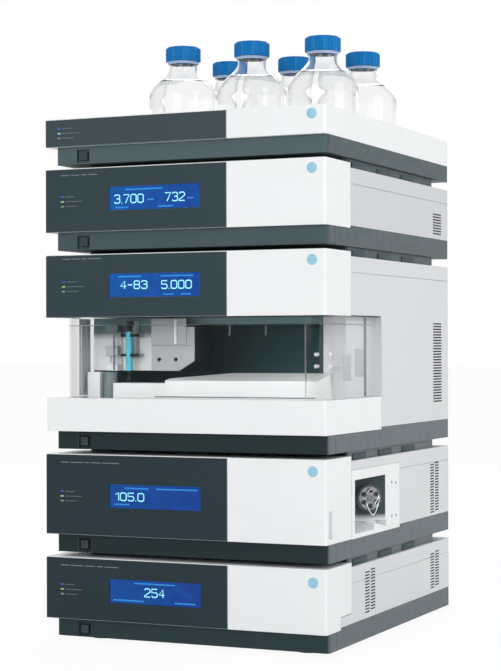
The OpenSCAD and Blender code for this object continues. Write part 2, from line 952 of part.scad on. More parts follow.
module syringe_barrel() {
    color([0.4, 0.75, 0.82, 0.6]) {
        translate([syringe_xy[0], syringe_xy[1], syringe_z]) difference() {
            cylinder(d = syringe_d, h = syringe_len);
            translate([0, 0, -join]) {
                cylinder(d = syringe_bore, h = syringe_len - 4 + join);
            }
        }
    }
}

// Piston, rod and foot of the syringe
module syringe_plunger() {
    foot_h = 3;
    foot_z = syringe_z - plunger_travel - foot_h - fit;
    piston_z = syringe_z + 14;
    color("#c4c8ca") {
        post([syringe_xy[0], syringe_xy[1], foot_z], 8, foot_h);
        post([syringe_xy[0], syringe_xy[1], foot_z], 3, piston_z - foot_z + join);
        post([syringe_xy[0], syringe_xy[1], piston_z], syringe_bore - 2 * fit, 6);
    }
}

// Grey cover of the injection valve, with a cut lower corner and two screws' bores
module valve_cover() {
    x0 = panel_right + seat;
    y0 = liner_front - 22;
    split = cover_top + 73;
    w = 67;
    top = crown_z - 1;
    face = [[0, panel_bottom], [w - 24, panel_bottom], [w, panel_bottom + 14],
        [w, roof_z - 3], [w - 22, roof_z - 3], [w - 22, top], [0, top]];
    screw_z = panel_bottom + 16;
    color("#a9adb0") difference() {
        union() {
            translate([x0, liner_front - seat, 0]) rotate([90, 0, 0]) {
                linear_extrude(22 - seat) polygon(face);
            }
            block([x0, liner_front - 1, panel_bottom], [x0 + w - 24, liner_front + 90, roof_z]);
        }
        block([x0 - join, y0 - join, split - seam], [x0 + w + join, y0 + seam, split]);
        for (x = [12, 38]) {
            boss([x0 + x, y0 + 1.5, screw_z], 6, 3);
        }
    }
}

// Height of the deck's sill, on which the wash station stands
sill_h = 20;

// White deck in front of the chamber: left post, left block and right plate
module sample_deck() {
    y1 = liner_front - seat;
    plate_x0 = liner_left + 142;
    plate_x1 = right_x - 32;
    plate_y0 = front_y + 50;
    lip_z = cover_top + 24;
    rise = 10;
    color("#e9ebec") {
        block([liner_left + 4, y1 - 26, samp_z], [liner_left + 24, y1, panel_bottom - 2]);
        block([liner_left + 55, y1 - 44, samp_z], [liner_left + 138, y1, cover_top + 20]);
        difference() {
            translate([plate_x0, 0, 0]) rotate([90, 0, 90]) linear_extrude(plate_x1 - plate_x0) {
                polygon([[plate_y0, samp_z], [plate_y0, lip_z], [y1, lip_z + rise], [y1, samp_z]]);
            }
            translate([plate_x0, y1 - 40, lip_z]) rotate(27) translate([-30, 0, 0]) {
                cube([160, 80, 3 * rise]);
            }
        }
        // Low sill that joins the post, the block and the plate
        block([liner_left + 4, y1 - 40, samp_z], [plate_x0 + 1, y1, samp_z + sill_h]);
    }
}

// Wash station under the needle
module wash_port() {
    x = needle_xy[0];
    y = needle_xy[1];
    d = 20;
    top = panel_bottom - 2;
    color("#7f8d90") difference() {
        post([x, y, samp_z + sill_h], d, top - samp_z - sill_h);
        post([x, y, top - 18], 6, 19);
    }
}

// ---- column oven -----------------------------------------------------------

oven_z = panel_z(OVEN);
bezel_z0 = oven_z;
bezel_z1 = oven_z + 93;
chamber_rear = house_front + 66;
chamber = [[house_left + 30, oven_z + 14], [right_x - 62, lid_z(OVEN) - 16]];
column_y = house_front + 40;
column_z = oven_z + 52;
column_x = -16;

module oven_base() {
    color("#3f4c50") {
        base(OVEN);
        plinth(OVEN);
    }
}

// Housing with the open column chamber and the valve's cut-out at the right
module oven_housing() {
    vent_z = oven_z + base_step + 4;
    clip = [10, 8];
    color("#dcdfe0") {
        difference() {
            closed_housing(OVEN);
            block([chamber[0][0], house_front - join, chamber[0][1]],
                [chamber[1][0], chamber_rear, chamber[1][1]]);
            block([bezel_back, house_front - join, bezel_z0 - join],
                [right_x + join, oven_bezel_end, bezel_z1]);
            side_vents(rear_y - vent_rear - vent_w, vent_z, vent_z + 76, 2);
        }
        // Clips that carry the column
        for (s = [-1, 1]) {
            x = column_x + s * column_len * 0.32;
            difference() {
                block([x - clip[0] / 2, column_y - 3, column_z - column_d / 2 - 4],
                    [x + clip[0] / 2, chamber_rear + join, column_z + column_d / 2 + 4]);
                rod_x([x - clip[0], column_y, column_z], column_d + 2 * seat, 2 * clip[0]);
            }
        }
    }
}

// Door with the capillary slot near its right corner
module oven_door() {
    color("#eef0f1") difference() {
        door_shell(OVEN);
        block([right_x - panel_t - 1, front_y + 9, oven_z + 8],
            [right_x + join, front_y + 20, oven_z + 44]);
    }
}

recess_y = [house_front + 12, house_front + 134];
recess_z = [oven_z + 15, oven_z + 79];
// The recess ends in a wall across the valve's axis that meets the rear rim
recess_depth = stator_d * sin(valve_turn) + stator_len * cos(valve_turn) + 2 * recess_gap;
wall_run = recess_depth / tan(valve_turn);
recess_floor = right_x - recess_depth;
bezel_back = recess_floor - 4;
// Middle of the stator's rear face, on that wall
valve_in = recess_gap + stator_d / 2 * sin(valve_turn) + stator_len * cos(valve_turn);
valve_c = [right_x - valve_in, recess_y[1] - valve_in / tan(valve_turn), oven_z + 47];

// White bezel with the valve's recess, its drain ramp and the notch beside the ramp
module valve_bezel() {
    g = seat;
    y0 = house_front + g;
    y1 = oven_bezel_end - g;
    fall = 9;
    notch = [14, 49];
    ramp_end = recess_y[1] - notch[1];
    hole = [30, 8, 4];
    color("#f1f2f2") difference() {
        block([bezel_back + g, y0, bezel_z0], [right_x, y1, bezel_z1 - g]);
        translate([0, 0, recess_z[0]]) linear_extrude(recess_z[1] - recess_z[0]) {
            polygon([[recess_floor, recess_y[0]], [right_x + join, recess_y[0]],
                [right_x + join, recess_y[1]], [right_x, recess_y[1]],
                [recess_floor, recess_y[1] - wall_run]]);
        }
        translate([0, ramp_end, 0]) rotate([90, 0, 0]) linear_extrude(ramp_end - recess_y[0]) {
            polygon([[recess_floor + 8, recess_z[0] + join], [right_x + join, recess_z[0] + join],
                [right_x + join, recess_z[0] - fall]]);
        }
        translate([right_x - notch[0], 0, 0]) rotate([90, 0, 90]) linear_extrude(notch[0] + join) {
            polygon([[ramp_end, recess_z[0] + join], [recess_y[1], recess_z[0] + join],
                [recess_y[1], recess_z[0] - fall]]);
        }
        rod_x([recess_floor - 2.5, recess_y[0] + hole[0], recess_z[0] + hole[1]], hole[2], 3);
    }
}

// Six-port valve, turned to the front: ring, stator face, hub and six hex fittings
module valve_stator() {
    port_r = stator_d * 0.29;
    face = stator_len - 2;
    color("#b9bdbf") translate(valve_c) rotate(-valve_turn) {
        difference() {
            rod_x([seat, 0, 0], stator_d, stator_len - seat);
            rod_x([face, 0, 0], stator_d - 5, 3);
        }
        rod_x([face - join, 0, 0], 8, 2);
        for (s = [0 : 5]) {
            a = 60 * s + 30;
            translate([face - join, port_r * cos(a), port_r * sin(a)]) rotate([0, 90, 0]) {
                cylinder(d = 7, h = 6, $fn = 6);
                cylinder(d = 2.4, h = 8);
            }
        }
    }
}

// Steel column with an end fitting at each end
module column() {
    nut = 16;
    x0 = column_x - column_len / 2;
    color("#b9bdbf") {
        rod_x([x0, column_y, column_z], column_d, column_len);
        for (x = [x0, x0 + column_len - nut]) {
            translate([x, column_y, column_z]) rotate([0, 90, 0]) {
                cylinder(d = column_d + 8, h = nut, $fn = 6);
            }
        }
        rod_x([x0 - 12, column_y, column_z], 7, column_len + 24);
    }
}

// ---- detector --------------------------------------------------------------

det_z = panel_z(DETECTOR);
tongue_z = det_z + 17;
tongue_t = 8;

module detector_base() {
    color("#3f4c50") {
        base(DETECTOR);
        block([right_x - tongue_t, det_tongue_y, det_z - join],
            [right_x, house_front + base_r, det_z + base_step]);
    }
}

// Housing with a tongue that reaches forward under the door's right wrap
module detector_housing() {
    vent_z = det_z + vent_up;
    color("#dcdfe0") {
        difference() {
            union() {
                closed_housing(DETECTOR);
                block([right_x - tongue_t, det_tongue_y, det_z + base_step],
                    [right_x, house_front + 2 * housing_r, tongue_z]);
            }
            side_vents(rear_y - vent_rear - vent_w, vent_z, vent_z + 58, 2);
            side_vents(house_front + 50, vent_z, vent_z + 60, 2);
        }
    }
}

module detector_door() {
    color("#eef0f1") difference() {
        door_shell(DETECTOR);
        block([right_x - tongue_t - door_gap - 1, det_tongue_y - door_gap, det_z - join],
            [right_x + join, wrap_y + join, tongue_z + door_gap]);
    }
}

// Flow cell with its two thumb screws and two ports
module flow_cell() {
    xc = 70;
    zc = det_z + detector_h * 0.48;
    depth = 40;
    color("#9ea4a7") {
        block([xc - cell_w / 2, house_front - depth, zc - cell_h / 2],
            [xc + cell_w / 2, house_front, zc + cell_h / 2]);
        for (s = [-1, 1]) {
            boss([xc + s * cell_w * 0.33, house_front - depth + join, zc + cell_h * 0.25], 12, 10);
            boss([xc + s * cell_w * 0.15, house_front - depth + join, zc - cell_h * 0.25], 7, 8);
        }
    }
}

// Four rubber feet under the bottom module
module rubber_feet() {
    color("#1c1f20") {
        for (x = [house_left + foot_inset, right_x - foot_inset],
            y = [base_front + foot_inset, rear_y - foot_inset]) {
            post([x, y, 0], foot_d, module_gap);
        }
    }
}

rack_base();
rack_tray();
rack_fascia();
button(RACK);  // rack_button
bottle(0);  // solvent_bottle_a
bottle(1);  // solvent_bottle_b
bottle(2);  // solvent_bottle_c
bottle(3);  // solvent_bottle_d
bottle(4);  // solvent_bottle_e
bottle(5);  // solvent_bottle_f
cap(0);  // bottle_cap_a
cap(1);  // bottle_cap_b
cap(2);  // bottle_cap_c
cap(3);  // bottle_cap_d
cap(4);  // bottle_cap_e
cap(5);  // bottle_cap_f
pouring_rings();
pump_base();
pump_housing();
pump_door();
door_fascia(PUMP);  // pump_fascia
display(PUMP);  // pump_display
button(PUMP);  // pump_button
pump_heads();
purge_knob();
sampler_base();
sampler_housing();
sampler_crown();
sampler_fascia();
display(SAMPLER);  // sampler_display
button(SAMPLER);  // sampler_button
sampler_window();
sampler_cover();
chamber_liner();
needle_panel();
valve_cover();
sample_deck();
carousel();
needle_arm();
syringe_mount();
syringe_barrel();
syringe_plunger();
wash_port();
oven_base();
oven_housing();
oven_door();
door_fascia(OVEN);  // oven_fascia
display(OVEN);  // oven_display
button(OVEN);  // oven_button
valve_bezel();
valve_stator();
column();
detector_base();
detector_housing();
detector_door();
door_fascia(DETECTOR);  // detector_fascia
display(DETECTOR);  // detector_display
button(DETECTOR);  // detector_button
flow_cell();
rubber_feet();
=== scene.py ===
"""Looks of a bench-top liquid chromatography stack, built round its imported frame.

Sizes are in millimetres and become metres when a mesh is made.
"""

import json
import logging
import math
from collections.abc import Sequence
from dataclasses import dataclass
from enum import Enum

import bmesh
import bpy
from mathutils import Matrix, Vector


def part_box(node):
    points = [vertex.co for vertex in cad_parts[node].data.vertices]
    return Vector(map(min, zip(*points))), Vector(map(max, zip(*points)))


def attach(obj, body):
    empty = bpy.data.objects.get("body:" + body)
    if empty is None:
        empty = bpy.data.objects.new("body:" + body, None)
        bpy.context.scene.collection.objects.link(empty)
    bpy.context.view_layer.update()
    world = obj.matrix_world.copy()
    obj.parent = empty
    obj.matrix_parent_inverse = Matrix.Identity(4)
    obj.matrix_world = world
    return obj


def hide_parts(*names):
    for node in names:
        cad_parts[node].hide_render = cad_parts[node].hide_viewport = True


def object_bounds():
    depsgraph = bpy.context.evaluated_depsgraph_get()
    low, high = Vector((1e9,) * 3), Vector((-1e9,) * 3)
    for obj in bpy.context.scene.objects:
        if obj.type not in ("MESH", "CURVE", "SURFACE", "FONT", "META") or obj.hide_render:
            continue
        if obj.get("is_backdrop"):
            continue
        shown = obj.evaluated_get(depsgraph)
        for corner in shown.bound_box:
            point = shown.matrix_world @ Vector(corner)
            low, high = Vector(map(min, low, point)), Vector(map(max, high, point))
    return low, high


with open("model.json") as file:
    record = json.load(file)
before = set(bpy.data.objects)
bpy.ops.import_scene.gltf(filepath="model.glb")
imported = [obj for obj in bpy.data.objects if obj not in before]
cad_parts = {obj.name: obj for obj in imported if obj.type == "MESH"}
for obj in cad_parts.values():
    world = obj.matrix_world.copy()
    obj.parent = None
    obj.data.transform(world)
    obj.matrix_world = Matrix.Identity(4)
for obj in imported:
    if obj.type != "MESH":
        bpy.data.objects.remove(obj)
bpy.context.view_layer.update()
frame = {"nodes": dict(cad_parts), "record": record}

LOG = logging.getLogger("chromatography_stack")
MM = 0.001
IMAGE_SIZE = (501, 671)

Colour = tuple[float, float, float]
Point = tuple[float, float, float]
Pair = tuple[float, float]
Span = tuple[Point, Point]
Socket = bpy.types.NodeSocket
Material = bpy.types.Material
Mesh = bpy.types.Mesh


def tone(red: int, green: int, blue: int) -> Colour:
    """Turns a screen colour into a linear one.

    Args:
        red: Red, 0 to 255.
        green: Green, 0 to 255.
        blue: Blue, 0 to 255.

    Returns:
        The linear colour.
    """
    def linear(level: int) -> float:
        """Turns one channel into linear light."""
        share = level / 255
        return share / 12.92 if share <= 0.04045 else ((share + 0.055) / 1.055) ** 2.4

    return linear(red), linear(green), linear(blue)


def node_box(name: str) -> tuple[Vector, Vector]:
    """Gives a frame node's lowest and highest corner, in millimetres."""
    low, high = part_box(name)
    return Vector(low) / MM, Vector(high) / MM


# ---- finishes ---------------------------------------------------------------

# Size of the patches in which a colour and a roughness drift.
DRIFT_MM = 90
SPREAD_MM = 14
# Width of the seam between two colours.
SEAM_MM = 0.4
# Depth to which light scatters in resin, in metres.
SCATTER_DEPTH = 4 * MM
# Part of a noise's range that is used, and how far the roughness strays from its middle.
NOISE_MIDDLE = (0.3, 0.7)
ROUGHNESS_SPREAD = (-0.05, 0.06)


class ShaderTree:
    """Writes the node tree of one material round a Principled shader."""

    def __init__(self, name: str) -> None:
        """Starts an empty material.

        Args:
            name: The material's name.
        """
        self.material = bpy.data.materials.new(name)
        self.material.use_nodes = True
        self.tree = self.material.node_tree
        self.tree.nodes.clear()
        self.output = self.node("ShaderNodeOutputMaterial")
        self.shader = self.node("ShaderNodeBsdfPrincipled")
        self.link(self.shader.outputs["BSDF"], self.output.inputs["Surface"])
        self.place = self.node("ShaderNodeTexCoord").outputs["Object"]
        self.normal = None

    def node(self, kind: str, **settings: object) -> bpy.types.ShaderNode:
        """Adds a node.

        Args:
            kind: The node's type.
            settings: Attributes to set on it.

        Returns:
            The node.
        """
        made = self.tree.nodes.new(kind)
        for key, value in settings.items():
            setattr(made, key, value)
        return made

    def link(self, source: Socket, target: Socket) -> None:
        """Joins two sockets."""
        self.tree.links.new(source, target)

    def plain(self, **values: object) -> None:
        """Sets values on the shader's own sockets.

        Args:
            values: Socket names, with underscores for spaces, and their values.
        """
        for key, value in values.items():
            socket = self.shader.inputs[key.replace("_", " ")]
            if isinstance(value, tuple):
                value = (*value, 1.0)
            socket.default_value = value

    def noise(self, grain_mm: float, stretch: Point = (1, 1, 1), detail: float = 2) -> Socket:
        """Adds noise on object coordinates.

        Args:
            grain_mm: Size of one grain.
            stretch: Factors along the three axes.
            detail: Number of finer layers.

        Returns:
            The noise's factor.
        """
        mapping = self.node("ShaderNodeMapping")
        mapping.inputs["Scale"].default_value = stretch
        self.link(self.place, mapping.inputs["Vector"])
        made = self.node("ShaderNodeTexNoise")
        made.inputs["Scale"].default_value = 1 / (grain_mm * MM)
        made.inputs["Detail"].default_value = detail
        self.link(mapping.outputs["Vector"], made.inputs["Vector"])
        return made.outputs["Fac"]

    def axis(self, letter: str) -> Socket:
        """Gives one object coordinate.

        Args:
            letter: Its axis.

        Returns:
            The coordinate, in metres.
        """
        split = self.node("ShaderNodeSeparateXYZ")
        self.link(self.place, split.inputs["Vector"])
        return split.outputs[letter]

    def fade(self, value: Socket, start: float, end: float, low: float = 0, high: float = 1) -> Socket:
        """Maps a range of a value, clamped, to another range.

        Args:
            value: The value.
            start: Value that gives low.
            end: Value that gives high.
            low: Result at the start.
            high: Result at the end.

        Returns:
            The mapped value.
        """
        made = self.node("ShaderNodeMapRange")
        for key, number in zip(("From Min", "From Max", "To Min", "To Max"), (start, end, low, high)):
            made.inputs[key].default_value = number
        self.link(value, made.inputs["Value"])
        return made.outputs["Result"]

    def product(self, first: Socket, second: Socket) -> Socket:
        """Multiplies two values.

        Args:
            first: The first value.
            second: The second value.

        Returns:
            Their product.
        """
        made = self.node("ShaderNodeMath", operation="MULTIPLY")
        self.link(first, made.inputs[0])
        self.link(second, made.inputs[1])
        return made.outputs[0]

    def blend(self, factor: Socket, first: object, second: object) -> Socket:
        """Mixes two colours.

        Args:
            factor: Share of the second colour.
            first: A colour or a socket.
            second: A colour or a socket.

        Returns:
            The mixed colour.
        """
        made = self.node("ShaderNodeMix", data_type="RGBA")
        self.link(factor, made.inputs["Factor"])
        for key, value in (("A", first), ("B", second)):
            socket = next(s for s in made.inputs if s.name == key and s.type == "RGBA")
            if isinstance(value, tuple):
                socket.default_value = (*value, 1.0)
            else:
                self.link(value, socket)
        return next(s for s in made.outputs if s.type == "RGBA")

    def drift(self, colour: Colour, share: float) -> Socket:
        """Lets a colour drift over the piece, by a share to the darker and to the lighter."""
        darker, lighter = shaded(colour, 1 - share), shaded(colour, 1 + share)
        return self.blend(self.noise(DRIFT_MM, detail=3), darker, lighter)

    def vary_roughness(self, source: Socket, middle: float) -> None:
        """Lets the roughness follow a noise round its middle."""
        low, high = (middle + spread for spread in ROUGHNESS_SPREAD)
        self.link(self.fade(source, *NOISE_MIDDLE, low, high), self.shader.inputs["Roughness"])

    def round_edges(self, radius_mm: float) -> None:
        """Lets light catch the edges as on a small radius.

        Args:
            radius_mm: The radius.
        """
        bevel = self.node("ShaderNodeBevel", samples=4)
        bevel.inputs["Radius"].default_value = radius_mm * MM
        self.normal = bevel.outputs["Normal"]
        self.link(self.normal, self.shader.inputs["Normal"])

    def emboss(self, height: Socket, depth_mm: float) -> None:
        """Adds a bump on top of the normals used so far.

        Args:
            height: Height, 0 to 1.
            depth_mm: Depth of the full height.
        """
        bump = self.node("ShaderNodeBump")
        bump.inputs["Strength"].default_value = 1.0
        bump.inputs["Distance"].default_value = depth_mm * MM
        self.link(height, bump.inputs["Height"])
        if self.normal is not None:
            self.link(self.normal, bump.inputs["Normal"])
        self.normal = bump.outputs["Normal"]
        self.link(self.normal, self.shader.inputs["Normal"])

    def colour(self, source: Socket) -> None:
        """Uses a socket as the base colour."""
        self.link(source, self.shader.inputs["Base Color"])

    def let_lamps_through(self) -> None:
        """Makes the surface clear to shadow rays, as thin glass nearly is."""
        path = self.node("ShaderNodeLightPath")
        clear = self.node("ShaderNodeBsdfTransparent")
        mixed = self.node("ShaderNodeMixShader")
        self.link(path.outputs["Is Shadow Ray"], mixed.inputs["Fac"])
        self.link(self.shader.outputs["BSDF"], mixed.inputs[1])
        self.link(clear.outputs["BSDF"], mixed.inputs[2])
        self.link(mixed.outputs["Shader"], self.output.inputs["Surface"])


def shaded(colour: Colour, factor: float) -> Colour:
    """Scales a colour."""
    return tuple(min(1.0, level * factor) for level in colour)


@dataclass(frozen=True)
class MouldedPlastic:
    """Injection-moulded plastic with a fine spark-eroded grain.

    Attributes:
        name: The material's name.
        colour: Main colour.
        roughness: Middle of the roughness.
        grain_mm: Size of the grain.
        depth_mm: Depth of the grain.
        variation: Share by which the colour drifts over the piece.
        edge_mm: Radius at which edges catch light.
        gloss: Strength of the surface's reflection, 0.5 for plain resin.
        soft: Share of light that scatters below the surface.
    """

    name: str
    colour: Colour
    roughness: float = 0.42
    grain_mm: float = 0.7
    depth_mm: float = 0.012
    variation: float = 0.03
    edge_mm: float = 0.8
    gloss: float = 0.35
    soft: float = 0.0

    def base(self, tree: ShaderTree) -> Socket:
        """Gives the drifting base colour."""
        return tree.drift(self.colour, self.variation)

    def build(self) -> Material:
        """Makes the material.

        Returns:
            The material.
        """
        tree = ShaderTree(self.name)
        tree.plain(Specular_IOR_Level=self.gloss)
        if self.soft:
            tree.plain(Subsurface_Weight=self.soft, Subsurface_Scale=SCATTER_DEPTH)
        tree.colour(self.base(tree))
        tree.vary_roughness(tree.noise(SPREAD_MM, detail=4), self.roughness)
        if self.edge_mm:
            tree.round_edges(self.edge_mm)
        tree.emboss(tree.noise(self.grain_mm, detail=1), self.depth_mm)
        return tree.material


@dataclass(frozen=True)
class PowderCoat(MouldedPlastic):
    """Powder-coated sheet metal with a soft orange-peel surface."""

    roughness: float = 0.5
    grain_mm: float = 2.2
    depth_mm: float = 0.02
    variation: float = 0.02


@dataclass(frozen=True)
class BaseShell(MouldedPlastic):
    """Base of a module, darker on the faces that look to the front and lighter on its sides and rear: partly
    a real dark front trim, partly painted shade on the fronts under the panels' overhang.

    Attributes:
        side: Colour of the sides and the rear.
        side_variation: Share by which that colour drifts.
        turn: y of the surface's normal where the darker front colour begins and where it is full.
    """

    side: Colour = (0.1, 0.11, 0.12)
    side_variation: float = 0.04
    turn: Pair = (-0.55, -0.85)

    def base(self, tree: ShaderTree) -> Socket:
        """Gives the colour, by the way the surface faces.

        Args:
            tree: Tree of the material.

        Returns:
            The colour.
        """
        split = tree.node("ShaderNodeSeparateXYZ")
        tree.link(tree.node("ShaderNodeNewGeometry").outputs["True Normal"], split.inputs["Vector"])
        facing = tree.fade(split.outputs["Y"], *self.turn)
        return tree.blend(facing, tree.drift(self.side, self.side_variation), self.colour)


@dataclass(frozen=True)
class ZonedPlastic(MouldedPlastic):
    """Moulded plastic with a second colour past a plane.

    Attributes:
        second: Colour past the plane.
        letter: Axis of the plane's normal.
        start: Where the second colour begins to show, in millimetres.
        end: Where it is full, in millimetres.
        inner_x: The second colour shows only at an x below this, in millimetres.
    """

    second: Colour = (0.05, 0.06, 0.065)
    letter: str = "Z"
    start: float = 0
    end: float = 1
    inner_x: float = 1000

    def base(self, tree: ShaderTree) -> Socket:
        """Gives the colour on both sides of the plane.

        Args:
            tree: Tree of the material.

        Returns:
            The colour.
        """
        first = super().base(tree)
        zone = tree.fade(tree.axis(self.letter), self.start * MM, self.end * MM)
        inside = tree.fade(tree.axis("X"), self.inner_x * MM, (self.inner_x - SEAM_MM) * MM)
        return tree.blend(tree.product(zone, inside), first, self.second)


@dataclass(frozen=True)
class LiningPlastic(ZonedPlastic):
    """Plastic lining whose inside and header are coloured lighter than its outside and front edges: painted
    light that makes up for the shade inside the chamber.

    Attributes:
        outside: Colour of the outer left face and the front edges.
        wall_x: x between the outer left face and the inside, in millimetres.
        edge_y: y between the front edges and the inside, in millimetres.
    """

    outside: Colour = (0.04, 0.08, 0.09)
    wall_x: float = -190.0
    edge_y: float = -148.4

    def base(self, tree: ShaderTree) -> Socket:
        """Gives the colours of the lining's sides and its header.

        Args:
            tree: Tree of the material.

        Returns:
            The colour.
        """
        deep = tree.fade(tree.axis("Y"), self.edge_y * MM, (self.edge_y + 2 * SEAM_MM) * MM)
        inner = tree.blend(deep, self.outside, MouldedPlastic.base(self, tree))
        header = tree.fade(tree.axis(self.letter), self.start * MM, self.end * MM)
        inside = tree.fade(tree.axis("X"), self.wall_x * MM, (self.wall_x + SEAM_MM) * MM)
        return tree.blend(inside, self.outside, tree.blend(header, inner, self.second))


@dataclass(frozen=True)
class FacedPlastic(ZonedPlastic):
    """Plastic with a second colour past a plane that stands at an angle.

    Attributes:
        facing: Direction in which the plane lies.
    """

    facing: Point = (1, 0, 0)

    def base(self, tree: ShaderTree) -> Socket:
        """Gives the colour on both sides of the plane.

        Args:
            tree: Tree of the material.

        Returns:
            The colour.
        """
        along = tree.node("ShaderNodeVectorMath", operation="DOT_PRODUCT")
        tree.link(tree.place, along.inputs[0])
        along.inputs[1].default_value = self.facing
        zone = tree.fade(along.outputs["Value"], self.start * MM, self.end * MM)
        return tree.blend(zone, MouldedPlastic.base(self, tree), self.second)


@dataclass(frozen=True)
class BrushedMetal:
    """Turned or brushed steel.

    Attributes:
        name: The material's name.
        colour: Reflected colour.
        roughness: Middle of the roughness.
        stretch: Factors that draw the noise out into brush lines.
        grain_mm: Width of the brush lines.
        shades: Factors of the darkest and the lightest lines.
        edge_mm: Radius at which edges catch light.
        depth_mm: Depth of the lines.
    """

    name: str
    colour: Colour = (0.62, 0.63, 0.64)
    roughness: float = 0.28
    stretch: Point = (1, 1, 12)
    grain_mm: float = 0.7
    shades: Pair = (0.93, 1.06)
    edge_mm: float = 0.3
    depth_mm: float = 0.003

    def build(self) -> Material:
        """Makes the material.

        Returns:
            The material.
        """
        tree = ShaderTree(self.name)
        tree.plain(Metallic=1.0)
        lines = tree.noise(self.grain_mm, self.stretch, 2)
        tree.colour(tree.blend(lines, *(shaded(self.colour, factor) for factor in self.shades)))
        tree.vary_roughness(lines, self.roughness)
        tree.round_edges(self.edge_mm)
        tree.emboss(lines, self.depth_mm)
        return tree.material


@dataclass(frozen=True)
class ClearGlass:
    """Clear glass, acrylic or liquid.

    Attributes:
        name: The material's name.
        colour: Colour of the light that passes.
        ior: Refractive index.
        ripple_mm: Depth of the slow waves of a blown or moulded surface.
        wave_mm: Length of those waves.
        roughness: Roughness, more than 0 where it is ground or frosted.
        rim: Share of light that passes where the surface turns away, as the glass is deeper there.
        turn: How far the surface has turned away where that begins and where it is full.
    """

    name: str
    colour: Colour = (0.985, 0.995, 0.99)
    ior: float = 1.47
    ripple_mm: float = 0.0
    wave_mm: float = 24.0
    roughness: float = 0.0
    rim: float = 1.0
    turn: Pair = (0.45, 0.92)

    def tint(self, tree: ShaderTree) -> None:
        """Sets the colour of the light that passes.

        Args:
            tree: Tree of the material.
        """
        if self.rim == 1:
            tree.plain(Base_Color=self.colour)
            return
        deep = tree.fade(tree.node("ShaderNodeLayerWeight").outputs["Facing"], *self.turn)
        tree.colour(tree.blend(deep, self.colour, shaded(self.colour, self.rim)))

    def build(self) -> Material:
        """Makes the material.

        Returns:
            The material.
        """
        tree = ShaderTree(self.name)
        tree.plain(Roughness=self.roughness, IOR=self.ior, Transmission_Weight=1.0)
        self.tint(tree)
        if self.ripple_mm:
            tree.emboss(tree.noise(self.wave_mm, detail=1), self.ripple_mm)
        tree.let_lamps_through()
        return tree.material


@dataclass(frozen=True)
class BentAcrylic(ClearGlass):
    """Clear acrylic whose bent ends are tinted a little darker: painted shade that stands for the greyer look
    the bent panes get from reflection and refraction.

    Attributes:
        end_colour: Colour of the light that passes the bent ends.
        bend: Distance of the bends' start from the middle, in millimetres.
        run: Length over which the colour changes, in millimetres.
    """

    end_colour: Colour = (0.825, 0.83, 0.832)
    bend: float = 169.0
    run: float = 12.0

    def tint(self, tree: ShaderTree) -> None:
        """Sets the colour of the light that passes.

        Args:
            tree: Tree of the material.
        """
        away = tree.node("ShaderNodeMath", operation="ABSOLUTE")
        tree.link(tree.axis("X"), away.inputs[0])
        ends = tree.fade(away.outputs[0], self.bend * MM, (self.bend + self.run) * MM)
        tree.colour(tree.blend(ends, self.colour, self.end_colour))


@dataclass(frozen=True)
class LitDisplay:
    """Backlit blue display behind glass, more azure at its left end.

    Attributes:
        name: The material's name.
        left: Colour at the left end.
        right: Colour at the right end.
        span: x of the two ends, in millimetres.
        strength: Strength of the light.
        resin: Colour of the dark display when unlit.
        cloud_mm: Size of the lighter patches.
        cloud_gain: How much lighter they are.
        cloud_share: Share of that in the densest patch.
        cloud_range: Part of the noise over which the patches grow.
        roughness: Roughness of the glass.
        gloss: Strength of its reflection.
        wave_mm: Length and depth of its slow waves.
    """

    name: str
    left: Colour
    right: Colour
    span: Pair = (-110, 28)
    strength: float = 1.0
    resin: Colour = (0.004, 0.01, 0.03)
    cloud_mm: float = 17.0
    cloud_gain: float = 1.5
    cloud_share: float = 0.35
    cloud_range: Pair = (0.45, 0.75)
    roughness: float = 0.16
    gloss: float = 0.12
    wave_mm: Pair = (40.0, 0.01)

    def build(self) -> Material:
        """Makes the material.

        Returns:
            The material.
        """
        tree = ShaderTree(self.name)
        across = tree.fade(tree.axis("X"), self.span[0] * MM, self.span[1] * MM)
        glow = tree.blend(across, self.left, self.right)
        cloud = tree.fade(tree.noise(self.cloud_mm), *self.cloud_range, 0, self.cloud_share)
        glow = tree.blend(cloud, glow, shaded(self.left, self.cloud_gain))
        tree.link(glow, tree.shader.inputs["Emission Color"])
        tree.plain(Base_Color=self.resin, Roughness=self.roughness, Specular_IOR_Level=self.gloss,
                   Emission_Strength=self.strength)
        length, depth = self.wave_mm
        tree.emboss(tree.noise(length, detail=1), depth)
        return tree.material


@dataclass(frozen=True)
class Glow:
    """Small lamp or lit mark.

    Attributes:
        name: The material's name.
        colour: Colour of the light.
        strength: Strength of the light.
        shades: Factors of its darkest and its lightest patches.
        unlit: Factor of the colour when unlit.
        grain_mm: Size of the patches in the light and in the colour.
    """

    name: str
    colour: Colour
    strength: float = 0.8
    shades: Pair = (0.8, 1.1)
    unlit: float = 0.4
    grain_mm: Pair = (2.5, 3.0)

    def build(self) -> Material:
        """Makes the material.

        Returns:
            The material.
        """
        tree = ShaderTree(self.name)
        patches, grain = (tree.noise(size) for size in self.grain_mm)
        uneven = tree.blend(patches, *(shaded(self.colour, factor) for factor in self.shades))
        tree.link(uneven, tree.shader.inputs["Emission Color"])
        tree.colour(tree.blend(grain, shaded(self.colour, self.unlit), self.colour))
        tree.plain(Roughness=0.25, Emission_Strength=self.strength)
        return tree.material


def fascia_plastic(place: str, colour: Colour) -> MouldedPlastic:
    """Gives the smooth dark plastic of the fascias at one height of the stack; the copies differ only by
    painted shade, darker towards the bottom of the stack.
    """
    return MouldedPlastic(f"fascia_{place}_plastic", colour, roughness=0.36, edge_mm=0.6, gloss=0.22)


def base_plastic(place: str, front: Colour, side: Colour) -> BaseShell:
    """Gives the plastic of a base at one height of the stack, with the colours of its front and its sides.
    The copies for the heights differ by painted light and shade: lower fronts darker as shade under the
    panels above, lower sides lighter as light from the floor.
    """
    return BaseShell(f"base_{place}_plastic", front, side=side, gloss=0.2)


